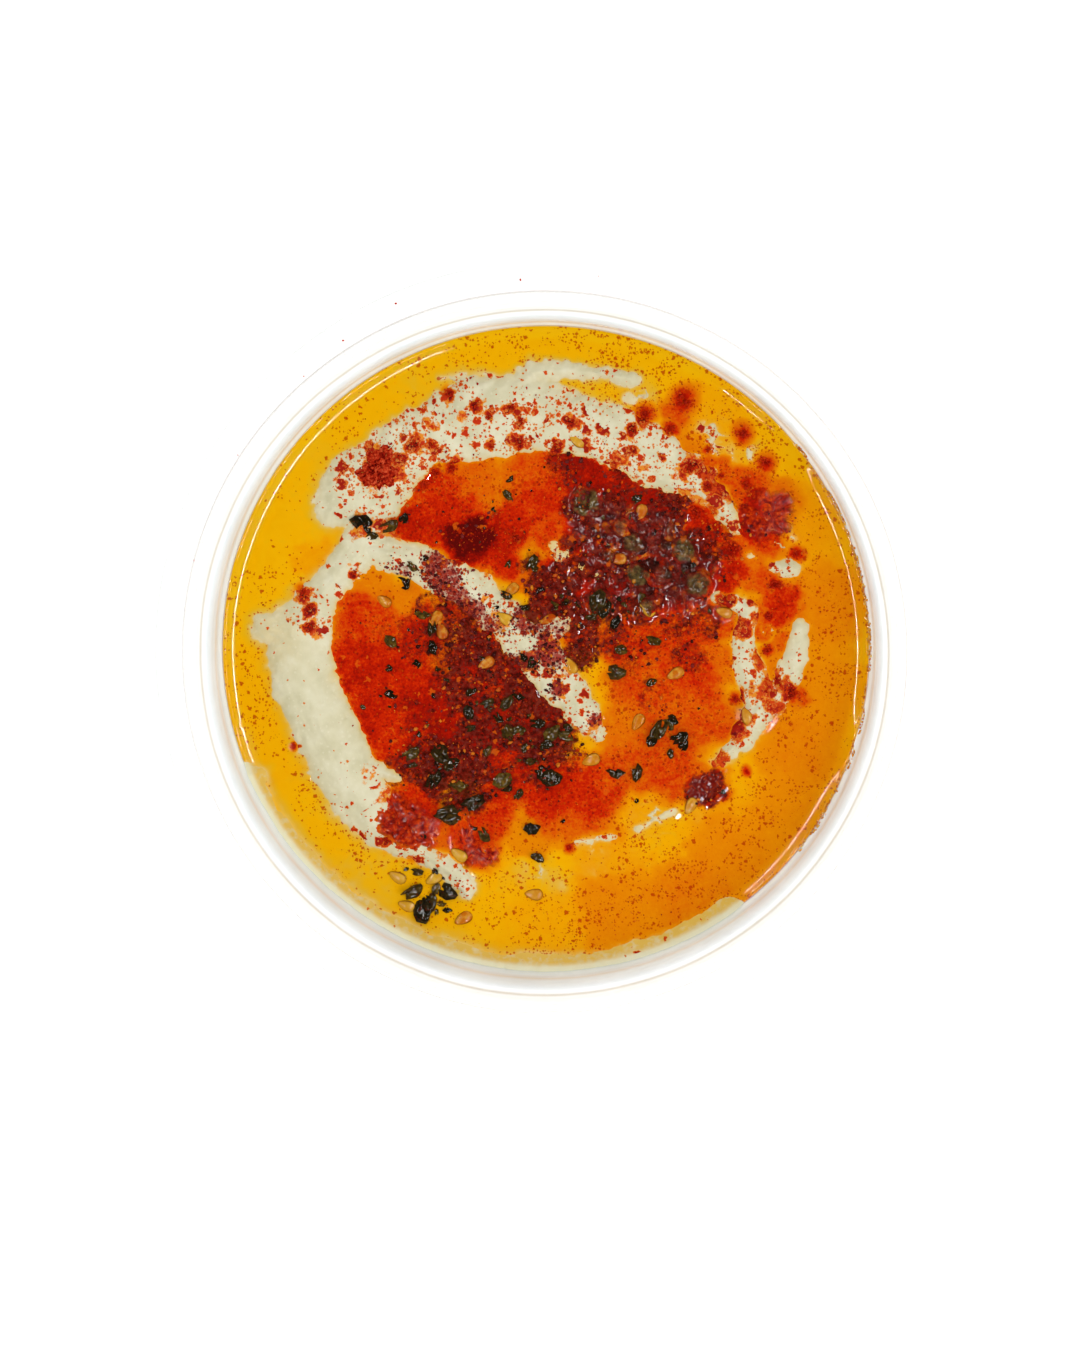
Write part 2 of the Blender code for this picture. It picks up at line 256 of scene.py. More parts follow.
# Shallows, where pale hummus shows through the oil: x, y, radius, depth left above it.
SHALLOWS = [
    (-5, -38, 4, 0.3), (2, -39.5, 3.4, 0.18), (8, -37, 4, 0.21), (14, -36, 4, 0.42),
    (17, 43, 3.4, 0.21), (25, -27, 3.6, 0.3), (-34, -26, 3.5, 0.15), (-38, -21, 3, 0.3),
    (-33, -38, 4.5, 0.21), (-27, -42.5, 4, 0.24), (-15, -48.7, 3, 0.21), (-25, -35.5, 4, 0.3),
    (26, 36, 4.5, 0.24), (31, 33, 4, 0.27), (2.5, 16, 3.5, 0.18), (7.5, 12.5, 3.2, 0.18),
    (-5, 12, 3, 0.36), (5, 43, 4, 0.48), (10, 42.5, 3.5, 0.42), (-30, 11, 2.6, 0.42),
    (-24, 9.5, 3, 0.48), (37, 3.5, 2.4, 0.36), (38, -1, 2, 0.3), (15, -28.5, 3.4, 0.3),
    (8, -34, 3.4, 0.36), (-13, 44, 3, 0.3), (38, 16.5, 3, 0.3), (-38, 34, 5, 0.35),
    (-22, 46, 5, 0.4),
]


# %% How far inside the nearest stroke
def inside_strokes(x, y, strokes):
    """How far each point is inside the strokes, and how far along and across the nearest one."""
    best = np.full(x.shape, -1e3)
    along_best, across_best = np.zeros_like(best), np.zeros_like(best)
    for number, stroke in enumerate(strokes.values()):
        travelled = 50.0 * number
        for (x0, y0, w0), (x1, y1, w1) in zip(stroke, stroke[1:]):
            run_x, run_y = x1 - x0, y1 - y0
            length = math.hypot(run_x, run_y)
            along = ((x - x0) * run_x + (y - y0) * run_y) / length**2
            across = ((y - y0) * run_x - (x - x0) * run_y) / length
            share = np.clip(along, 0, 1)
            away = np.hypot(x - x0 - share * run_x, y - y0 - share * run_y)
            inside = w0 + (w1 - w0) * share - away
            nearer = inside > best
            best = np.where(nearer, inside, best)
            along_best = np.where(nearer, travelled + along * length, along_best)
            across_best = np.where(nearer, across, across_best)
            travelled += length
    return best, along_best, across_best


def inside_shore(x, y):
    """The same for the hummus that climbs the wall along the front."""
    angle = np.arctan2(y, x) % math.tau
    past_end = np.maximum(np.maximum(SHORE_FROM - angle, angle - SHORE_TO), 0)
    radius = SHORE_RADIUS + 0.5 * mottle(angle * 52, angle * 0, 7, 5)
    return np.hypot(x, y) - radius - past_end * SHORE_RADIUS


def rise(inside, crest, gentle=0.5):
    """Height above the oil level for a distance inside the shore, negative outside.

    Gentle is the width in millimetres of the flat beach just below the oil."""
    beach = gentle * (1 - np.exp(np.minimum(inside, 0) / gentle))
    inside = np.where(inside < 0, np.minimum(inside + 0.82 * beach, 0), inside)
    return np.where(inside > 0, crest * (1 - np.exp(-np.maximum(inside, 0) / CREST_RUN)),
                    -BASIN * (1 - np.exp(np.minimum(inside, 0) / BASIN_RUN)))


def wall_climb(x, y):
    """How high liquid or cream stands up against the tub's wall. In two places it clings less."""
    angle = np.degrees(np.arctan2(y, x))
    less = np.exp(-((angle - 38) / 5) ** 2) + np.exp(-((angle + 17) / 6) ** 2)
    return 1.3 * (1 - 0.8 * less) * np.exp(-np.maximum(MOUTH - np.hypot(x, y), 0) / 1.6)


def creep(x, y):
    """How high the oil climbs at a shore here. It climbs most round the end of the middle ridge."""
    most = 0.12 + 0.1 * mottle(x, y, 7, 33)
    for end_x, end_y, radius in ((10.5, -11, 7), (21, -27.5, 4), (36, -12, 5), (-20, 30, 3)):
        most = most + 0.3 * np.exp(-((x - end_x) ** 2 + (y - end_y) ** 2) / radius**2)
    near_collar = soft_step(-7, -2, inside_shore(x, y))
    return np.clip(most, 0.05, 0.75) * (1 - 0.9 * near_collar)


def swirl(x, y):
    """Height of the hummus, and how far each point is inside the shore."""
    ragged = 0.55 * mottle(x, y, 2.6, 11) + 0.22 * mottle(x, y, 0.9, 12, 2)
    ridge, along, across = inside_strokes(x, y, RIDGES)
    streak = inside_strokes(x, y, STREAKS)[0] + ragged * 0.6
    collar = inside_shore(x, y) + ragged * 0.25
    height = np.maximum(rise(ridge + ragged, CREST, 0.5 + 1.3 * soft_step(-26, -36, x)),
                        rise(streak, STREAK_CREST))
    height = np.maximum(height, rise(collar, CREST, 2.4))
    ridge = np.maximum(ridge + ragged, collar)
    for lace_x, lace_y, radius, crest in LACE:
        near = np.exp(-((x - lace_x) ** 2 + (y - lace_y) ** 2) / radius**2)
        grooves = np.abs(mottle(x + 0.4 * mottle(x, y, 1, 37), y, 2.3, 36, 3))
        threads = crest - 1.5 * grooves - 1.3 * (1 - near)
        height = np.maximum(height, threads)
    for spot_x, spot_y, radius, depth in SHALLOWS:
        near = np.exp(-((x - spot_x) ** 2 + (y - spot_y) ** 2) / radius**2)
        wanted = -depth * (1 + 0.6 * mottle(x, y, 1.8, 31))
        height = np.where(height < wanted, height + (wanted - height) * near, height)
    dry = soft_step(-0.5, 1.5, ridge)
    height = height + dry * 0.09 * mottle(across * 1.0, along * 0.12, 0.9, 21)
    height = height + 0.10 * mottle(x, y, 1.5, 22) + dry * 0.02 * mottle(x, y, 0.7, 23, 2)
    height = height + wall_climb(x, y) * soft_step(-3.5, 0.2, collar)
    inside = np.maximum(ridge, streak)
    return OIL_LEVEL + height + creep(x, y) * soft_step(-0.4, 0.1, inside), inside


# %% [markdown]
# ## What lies on it, and where
#
# The toppings are placed one by one, because a sprinkle has a pattern: the paste was spooned on in blobs,
# the dark spice went on in one heap, and the herb was pinched over the middle and the front edge. Each list
# gives the place in millimetres and the size. The same lists shape the oil, which creeps up every lump.

# %% Places of the toppings
CLUMPS = {
    "chilli_paste_left": (-23.4, -29.4, 6.2, 4.6, -42, 2.0),
    "chilli_paste_front": (-11.6, -32.6, 5.6, 4.0, -62, 1.3),
    "chilli_paste_right": (36.8, 22.8, 5.8, 4.4, 15, 1.6),
    "chilli_paste_edge": (26.6, -22.9, 4.6, 2.4, 38, 1.3),
    "paprika_mound": (-27.4, 30.2, 3.9, 3.0, 70, 1.7),
    "spice_heap": (17.5, 16.5, 12.5, 8.5, -38, 1.8),
}
# Small heaps of red grains: x, y, radius.
RED_HEAPS = [
    (-40.2, 9.6, 1.2), (-38.8, 7, 1.3), (-38.8, 3.8, 1.3), (-15.8, 42.3, 1.2), (-11.5, 40.7, 1.3),
    (-9.2, 38.5, 1), (-4, 38, 1), (-5.5, 40.3, 1.1), (-4.3, 34.5, 1.3), (4.3, 37.7, 1.2),
    (14.3, 36.5, 1.2), (14.3, 32.9, 1.1), (16.3, 39.2, 1.7), (22.8, 41.3, 2.2), (20.6, 36.6, 1.4),
    (32.5, 36, 1.6), (36.2, 30.9, 1.6), (24.1, 30.4, 1.7), (33.2, 27.4, 1.6), (41.5, 16, 1.2),
    (38, 10.9, 1.6), (40.8, -7.2, 1.8), (36.8, 5.8, 1.2), (-21.6, 34, 1.4), (-18.6, 34, 1),
    (-24.2, 31.6, 1.4), (-9, 33.8, 0.9), (1.5, 33.6, 1), (19.2, 32.4, 0.7), (24.9, 22.9, 1.9),
    (-26.5, -31.7, 1.1), (33.3, -20.3, 0.9), (-42, -16.2, 0.6), (31.5, -8, 1.2), (36.7, 0.2, 1.2),
    (38.7, -5.4, 0.9), (-31.4, 12.9, 0.9), (26.8, 33.2, 0.9), (26.8, 27, 1.2), (4, -33, 0.9),
    (-18.3, -31, 0.5), (29, 28.8, 0.9), (-15.3, 30.3, 1.3), (-19.9, 27.2, 1.3), (-18, 29.5, 1.2),
    (-4.6, 18.6, 1.6), (30.4, 16.6, 2.3),
]
# Larger lumps under the oil's skin: x, y, radius, height, how olive the lump is.
DOMES = [
    (6.8, 24.9, 2.7, 1.0, 0.7), (15.4, 12.6, 2.1, 0.9, 0.8), (14.6, 17.8, 1.9, 0.8, 0.5),
    (22.8, 16.4, 2.1, 0.9, 0.7), (25.3, 10.9, 2.4, 1.0, 0.6), (9, 7.9, 2.3, 1.0, 0.9),
    (16.9, 7.2, 1.6, 0.7, 0.5), (12.6, 20.4, 1.7, 0.7, 0.3), (19.2, 12.8, 1.8, 0.7, 0.1),
    (18.3, 8.4, 1.2, 0.6, 0.0), (29.6, 6.6, 1.5, 0.6, 0.3), (10.3, 15.6, 1.3, 0.5, 0.2),
    (20, 17.2, 1.1, 0.5, 0.1),
]


# %% Amounts from pools
def pooled(x, y, pools, rest, reach=1.0):
    """A smooth amount over the surface from pools of (x, y, radius, amount)."""
    total, weight = np.full(x.shape, rest * 0.02), np.full(x.shape, 0.02)
    for pool_x, pool_y, radius, amount in pools:
        near = np.exp(-((x - pool_x) ** 2 + (y - pool_y) ** 2) / (radius * reach) ** 2)
        total, weight = total + near * amount, weight + near
    return total / weight


def heaped(x, y, heaps, spread=1.0):
    """The nearest small heap's share at each point, from 1 in its middle to 0."""
    share = np.zeros_like(x, float)
    for heap_x, heap_y, radius in heaps:
        away = ((x - heap_x) ** 2 + (y - heap_y) ** 2) / (radius * spread) ** 2
        share = np.maximum(share, np.exp(-away))
    return share


# How much chilli is in the oil: 0 amber, 0.4 orange, 0.7 red, 1 deep red.
CHILLI = [
    (-50, 10, 9, 0.0), (-46, 26, 9, 0.0), (-34, 40, 9, 0.02), (-18, 49, 8, 0.0), (2, 51, 8, 0.0),
    (20, 48, 6, 0.02), (28, 39, 5, 0.12), (38, 34, 5, 0.08), (45, 22, 6, 0.16), (47, 8, 6, 0.26),
    (46, -6, 6, 0.22), (43, -16, 6, 0.26), (41, -28, 6, 0.22), (33, -35, 7, 0.24),
    (25, -42, 7, 0.3), (12, -45, 7, 0.24), (0, -46, 6, 0.12), (-14, -44, 7, 0.07),
    (-28, -38, 6, 0.05), (-38, -28, 6, 0.05), (-46, -14, 6, 0.08), (-47, 0, 4, 0.08),
    (-38, 15, 3, 0.15), (4, 43.5, 6, 0.03), (-8, 43, 4, 0.05), (-29, 11, 3.2, 0.28),
    (-22, 9.5, 3, 0.3), (-30, 5, 5, 0.58), (-31, -3, 5, 0.72), (-28, -11, 5, 0.7),
    (-24, -3, 5, 0.7), (-20, 3, 4, 0.68), (-19, -9, 5, 0.78), (-12, -4, 4, 0.74),
    (-24, -17, 4, 0.66), (-16, -15, 5, 0.82), (-8, -13, 5, 0.74), (-1, -14, 4, 0.7),
    (-6, -22, 5, 0.68), (2, -24, 5, 0.68), (9, -25, 5, 0.62), (-9, -27, 4, 0.6), (3, -29, 3, 0.42),
    (-3, -32, 3, 0.24), (14, -20, 5, 0.5), (21, -20, 4, 0.54), (15, -27, 3, 0.12),
    (20, -30, 4, 0.1), (10, -34, 4, 0.14), (0, -37, 4, 0.06), (20, -12, 5, 0.46),
    (27, -12, 4, 0.52), (15, -6, 4, 0.5), (18, -8, 2.4, 0.55), (24, -3.5, 5, 0.6), (29, -2, 3, 0.4),
    (12, -13, 3, 0.36), (14, 1, 4, 0.62), (22, 3, 5, 0.6), (28, 6, 3, 0.55), (6, 3, 3, 0.62),
    (-20, 21, 4, 0.72), (-15, 25, 4, 0.66), (-21, 28, 3, 0.7), (-10, 28, 5, 0.4), (-2, 29, 4, 0.5),
    (5, 31, 4, 0.8), (-12, 18.5, 4, 1.15), (-6, 21, 3, 0.72), (-7, 15, 3, 0.75), (-3, 24, 3, 0.62),
    (0, 20, 2.5, 0.55), (2, 14, 3, 0.7), (6, 18, 3, 0.72), (-14, 8, 3, 0.6), (-10, 2, 3, 0.72),
    (-4, -5, 3, 0.78), (2, -12, 3, 0.75), (0, 26, 3, 0.66), (7, 28, 4, 0.8), (14, 28, 4, 0.75),
    (-3, 12, 2.4, 0.4), (10, 22, 6, 0.88), (18, 22, 5, 0.8), (25, 20, 4, 0.72), (31, 17, 2.4, 0.5),
    (34, 16.4, 2, 0.4), (30, 12, 3, 0.72), (22, 12, 5, 0.85), (12, 12, 5, 0.88), (3, 9, 4, 0.75),
    (35.5, 22, 4, 0.84), (39, 24, 3, 0.4), (33, 28, 3, 0.5), (38, 18, 2.5, 0.55), (39, 8, 3, 0.66),
    (36, 12, 2.4, 0.5), (39, 1, 2, 0.45), (37, -3, 2, 0.3), (28, 29.5, 2.5, 0.5), (22, 41, 3, 0.5),
    (24, 34, 3, 0.3), (40.8, -7, 2.4, 0.66), (35, 5, 2, 0.5), (27, -23, 2.6, 0.85),
    (-23, -29, 5, 0.7), (-12, -31, 4, 0.6), (-20, -24, 3, 0.6), (-28, -22, 2, 0.3),
]
# How dark it is, where dried herb and dark spice lie thick.
DARK = [
    (13, 20, 7, 0.95), (20, 14, 6, 0.9), (7, 24, 4, 0.75), (25, 16, 4, 0.85), (10, 14, 4, 0.8),
    (16, 8, 4, 0.7), (9, 6, 4, 0.65), (-12, 18, 3.6, 0.3), (-6, 18, 3, 0.3), (16, 26, 4, 0.45),
    (4, 30, 4, 0.5), (0, 10, 3.5, 0.75), (-1, 6, 3, 0.7), (6, 0, 3, 0.7), (22, 6, 4, 0.45),
    (15, 0, 4, 0.4), (24, 8, 2.4, 0.75), (24, -1.5, 3, 0.52), (18, -8, 2.6, 0.55), (-16, 3, 4, 0.7),
    (-12, 0, 4, 0.65), (-19, 7, 2.5, 0.5), (-11, -8, 4, 0.6), (-6, -10, 4, 0.6), (0, -11, 3, 0.7),
    (2, -16, 4, 0.75), (-17, -20, 5, 0.85), (-20, -17, 3, 0.6), (-13, -24, 4, 0.7),
    (-7, -17, 3, 0.5), (5, -19, 3, 0.5), (-7, -22, 2.6, 0.4), (-26, -6, 3, 0.15), (-30, 0, 5, 0.05),
    (-24, -12, 4, 0.25), (-28, -14, 4, 0.1), (-6, -28, 3, 0.1), (10, -24, 6, 0.05),
    (20, -18, 6, 0.02), (27, -8, 5, 0.05), (19, -8, 3, 0.15), (30, 18, 3, 0.5), (-10, 28, 5, 0.05),
    (-20, 23, 4, 0.15), (36, 22, 5, 0.35), (30, 10, 3, 0.2), (5, -27, 5, 0.1), (-29, 8, 4, 0.05),
    (-22, 28, 3, 0.2), (0, 20, 2, 0.1), (-4, 24, 3, 0.15), (-12, 3, 4, 0.65), (-8, -2, 4, 0.7),
    (-3, -8, 4, 0.8), (-16, 8, 3, 0.55), (-20, 2, 5, 0.45), (-14, -6, 5, 0.6), (-22, -12, 4, 0.45),
    (-10, -14, 5, 0.7), (-3, -16, 4, 0.8), (3, 12, 3, 0.85), (5, 17, 3, 0.55), (4, 6, 3, 0.85),
    (28, 12, 3, 0.65), (29, 20, 2.5, 0.55), (20, 24, 4, 0.7), (14, 28, 3, 0.55), (26, 5, 3, 0.55),
    (-16, 22, 3, 0.2), (-10, 24, 3, 0.3), (-3, 15, 2, 0.6), (8, 28, 4, 0.4), (2, -6, 2, 0.6),
    (11, 2, 3, 0.6), (18, -6, 2, 0.5), (24, -15, 2, 0.4), (33, 22, 3, 0.4), (26.6, -23, 3.4, 0.8),
    (-26, 2, 3, 0.3), (-24, -20, 3, 0.6), (-12, -19, 4, 0.75), (-1, -21, 3, 0.55),
]
print(len(CHILLI), "pools of chilli,", len(DARK), "dark places")

# %% [markdown]
# ## Herb, seeds and their places
#
# Dried herb lies as dark crinkled flakes, the largest 4 mm long, and the sesame seeds are flat drops of
# 3 mm. They are few enough to place one by one. Each place also raises the oil a little, because oil wets
# whatever sticks out of it, and that rim is what catches the light.

# %% Places of flakes and seeds
# Herb: x, y, length, turn in degrees.
FLAKES = [
    (-30.2, 20.8, 3.6, -35), (-25.8, 20.7, 2.8, 20), (-23.4, 21.8, 1.8, 70), (-28.6, 18.9, 1.8, 10),
    (-6.2, 25.7, 2.0, -40), (-5.8, 28.4, 1.4, 30), (-2.2, 14.6, 2.4, 60), (8.6, 8.4, 3.4, 100),
    (9.8, 7.1, 2.8, 60), (-3.4, 7.1, 1.5, 0), (11.8, -3.7, 3.0, 5), (-1.8, -1.8, 2.2, 40),
    (-3.4, -1.2, 1.8, -50), (25.4, 10.2, 2.6, -30), (23, 16.4, 2.4, 50), (1.0, -21.2, 3.4, 30),
    (-0.6, -20.6, 2.6, 110), (-10.1, -31, 2.4, -60), (-2.2, -29.9, 2.4, 15),
    (-1.3, -34.8, 2.0, -30), (15.2, -20.5, 2.8, 80), (11.8, -20.4, 2.8, -20),
    (18.7, -13.3, 3.4, 50), (17.6, -14.9, 2.2, 100), (20.4, -12.4, 2.2, -30),
    (22.4, -14.6, 2.8, 20), (23.0, -15.8, 2.0, 70), (20.9, -17.2, 1.5, 90), (-16.0, -27.3, 4.6, 5),
    (-15.2, -28.3, 3.2, -10), (-21.3, -37.2, 1.8, -10), (-20.2, -43.8, 3.8, -60),
    (-19.4, -42.3, 3.2, 75), (-22.2, -40.4, 3.2, 25), (-16.3, -40.6, 3.2, -20),
    (-18.2, -40.1, 1.8, 60), (-17.4, -42.6, 1.6, 0), (-16.2, -43.8, 1.6, -15),
    (-18.2, -44, 1.0, 80), (-18.3, -37.2, 1.2, -30), (-23.6, 11.1, 2.6, -25), (-22, 13.9, 1.8, -45),
    (-19.9, 15.3, 1.1, 5), (-3.4, -16.4, 1.4, 70), (-18.6, 0.4, 2.4, -70), (-20.2, 5.8, 2.4, -20),
    (-18.8, 3.6, 2.2, 80), (-25.6, 1.4, 2.2, -15), (-21.6, -2.6, 2.0, 40), (-22.3, -17.2, 2.8, 30),
    (-17.4, -17.4, 3.4, -50), (-15.6, -19.2, 2.4, 30), (-18.6, -21.8, 3.4, 60),
    (-14.6, -22.8, 3.2, -20), (-12, -25.4, 3.4, 20), (-7.2, -21.6, 3.0, 60),
    (-6.6, -22.8, 2.4, -10), (-4.4, -24.2, 1.8, 50), (-6.2, -13.8, 2.4, -70),
    (-4.6, -13.6, 2.4, 15), (-6.4, -8.8, 2.8, 60), (-4.4, -7.8, 2.0, -30), (-9.6, -8.8, 2.0, 20),
    (-12.6, -10.4, 2.2, -40), (-12.3, -6.8, 1.8, 30), (-1.2, -12.2, 2.4, 0), (1.2, -13.8, 2.8, 50),
    (3.4, -14.4, 2.2, -30), (0.4, -15.6, 2.6, 20), (-9.4, -16.8, 2.0, 50), (-12.4, -13, 1.6, 10),
    (3.8, -12.9, 1.6, 0), (-25.5, -7.4, 2.0, -20), (-7.8, -11.4, 1.8, -50), (-2.4, -18.6, 1.6, 30),
    (16.2, 8.6, 2.0, 120), (11.6, 4.6, 2.4, 70), (7.8, 5.8, 2.2, 10), (18, 1.6, 2.2, -20),
    (12.6, 0.2, 2.0, 30), (-0.8, 9.6, 1.8, 60), (-6.4, 9.2, 1.8, -30), (21.2, -11.6, 1.8, -35),
    (17.6, -5.4, 1.6, 20), (-23.2, -36.8, 1.0, 30), (-17, -38.4, 0.9, -40), (2.9, -28.6, 0.8, 40),
    (-30.3, -9.6, 0.9, 0), (-30.7, 14.3, 0.7, 40), (-8, 7.2, 0.9, 10), (15.2, 25.2, 1.6, 30),
    (24.2, 14.2, 1.4, 0),
]
# Sesame: x, y, turn in degrees, how deep in chilli oil it lies.
SEEDS = [
    (5.3, 34.7, -30, 0.15), (-6.6, 5.3, -35, 0.1), (4.2, -2.6, -60, 0.25), (-26.8, 8.1, -30, 0.5),
    (-18.1, 5.2, 60, 0.6), (-17.2, 3.2, -70, 0.8), (15.3, 12.5, 60, 0.6), (16.9, 6.9, -40, 0.2),
    (29.6, 6.4, -20, 0.4), (-24.7, -38.2, -30, 0.15), (-23.2, -43, -20, 0.15),
    (-13.7, -45.1, 30, 0.5), (-1.9, -41, -5, 0.3), (-14.4, -34.3, -35, 0.15),
    (33.5, -10.9, -65, 0.3), (15.4, -12, 60, 0.5), (21.6, -3.9, 25, 0.6), (-9.8, -2.2, 30, 0.8),
    (-18.6, -38.4, 30, 0.1), (15.8, 22.8, 70, 0.7), (12, 15.2, 0, 0.8), (24.2, -26, 60, 0.3),
    (7.6, -18.4, 20, 0.4), (-5.6, 10, 40, 0.5), (0.5, 5, 20, 0.9),
]
print(len(FLAKES), "flakes", len(SEEDS), "seeds")

# %% [markdown]
# ## The oil's skin
#
# Liquid does not lie flat where it touches something. It climbs the tub's wall, it creeps up the shore of
# every ridge, and it hangs over each lump like a cloth. Those rims bend the lamps' reflections into thin
# white lines, which is what makes oil look wet. So the skin is a height field with all of these in it.


# %% Height of the oil's skin
def skin(x, y, inside, dark):
    """Height of the oil: level, and up round everything that it wets."""
    height = wall_climb(x, y) + creep(x, y) * np.exp(-np.maximum(-inside, 0) / 1.5)
    lumps = 0.5 * pebbles(x + mottle(x, y, 1.5, 61), y, 2.3, 62, True)[0]
    lumps += 0.12 * pebbles(x, y + mottle(x, y, 0.8, 63), 1.1, 64, True)[0]
    crusty = 0.1 + np.exp(-((x - 14) ** 2 + (y - 14) ** 2) / 13**2)
    height += soft_step(0.2, 0.8, dark) * crusty * lumps
    for dome_x, dome_y, radius, rise_up, _ in DOMES:
        away = np.hypot(x - dome_x, y - dome_y) * (1 + 0.16 * mottle(x, y, 2.2, 65))
        dome = 0.7 * rise_up * np.clip(1 - (away / radius) ** 2, 0, 1) ** 0.8
        height += dome + 0.2 * np.exp(-np.maximum(away - radius, 0) / 0.7) * soft_step(0, radius, away)
    for place_x, place_y, length, _ in FLAKES:
        away = ((x - place_x) ** 2 + (y - place_y) ** 2) / (0.5 * length) ** 2
        height += 0.07 * length * np.exp(-away)
    for place_x, place_y, *_ in SEEDS:
        away = ((x - place_x) ** 2 + (y - place_y) ** 2) / 1.4**2
        height += 0.2 * np.exp(-away)
    for clump_x, clump_y, long, short, turn, _ in CLUMPS.values():
        past = (clump_reach(x, y, clump_x, clump_y, long, short, turn) - 0.95) * (long + short) / 2
        height += 0.16 * np.exp(-np.maximum(past + 0.9 * mottle(x, y, 1.9, 67), 0) / 0.8)
    height += 0.16 * heaped(x, y, RED_HEAPS, 0.9)
    return OIL_LEVEL + height


def clump_reach(x, y, clump_x, clump_y, long, short, turn):
    """0 in a clump's middle and 1 at its edge."""
    turn = math.radians(turn)
    u = (x - clump_x) * math.cos(turn) + (y - clump_y) * math.sin(turn)
    v = (y - clump_y) * math.cos(turn) - (x - clump_x) * math.sin(turn)
    return np.hypot(u / long, v / short)


def survey(x, y):
    """Everything that the pieces need to know at these points."""
    ground, inside = swirl(x, y)
    wander_x = x + 1.3 * mottle(x, y, 4, 71) + 0.5 * mottle(x, y, 1.3, 73)
    wander_y = y + 1.3 * mottle(x, y, 4, 72) + 0.5 * mottle(x, y, 1.3, 74)
    chilli = pooled(wander_x, wander_y, CHILLI, 0.1, 0.62)
    dark = pooled(wander_x, wander_y, DARK, 0.0, 0.62)
    near_dark = np.zeros_like(x)
    for dark_x, dark_y, radius, _ in DARK:
        near_dark = np.maximum(near_dark,
                               np.exp(-((x - dark_x) ** 2 + (y - dark_y) ** 2) / (1.1 * radius) ** 2))
    dark = dark * soft_step(0.1, 0.5, near_dark)
    heap = heaped(wander_x * 0.3 + x * 0.7, wander_y * 0.3 + y * 0.7, RED_HEAPS, 1.15)
    oil_top = skin(x, y, inside, dark)
    return {"ground": ground, "inside": inside, "chilli": chilli, "dark": dark, "heap": heap,
            "top": oil_top}


def top_at(x, y):
    """Height of whatever is uppermost, hummus or oil."""
    facts = survey(np.asarray(x, float), np.asarray(y, float))
    return np.maximum(facts["ground"], facts["top"])


# %% [markdown]
# ## Finishes
#
# A finish is a Principled shader with a few nodes in front of it. The small class below adds nodes one
# line at a time, and reads two things: the piece's own coordinates, for grain, and the amounts stored on
# its points, for what changes from place to place. Colours are given as they should look when lit, and
# `tint` turns them into paint for the brightness that the lamps give a white card lying on the oil.

# %% A finish, one node at a time
SURFACE_LIGHT = 1.1


def tint(red, green, blue):
    """Paint that looks like this screen colour, each from 0 to 255, under these lamps."""
    linear = [((c / 255 + 0.055) / 1.055) ** 2.4 if c > 10 else c / 255 / 12.92 for c in (red, green, blue)]
    return (*[value / SURFACE_LIGHT for value in linear], 1)


def add_node(tree, kind, inputs=None, **settings):
    """Adds one node. An input that is a socket is linked, any other is set."""
    made = tree.nodes.new(kind)
    for key, value in settings.items():
        setattr(made, key, value)
    for key, value in (inputs or {}).items():
        if isinstance(value, bpy.types.NodeSocket):
            tree.links.new(value, made.inputs[key])
        else:
            made.inputs[key].default_value = value
    return made


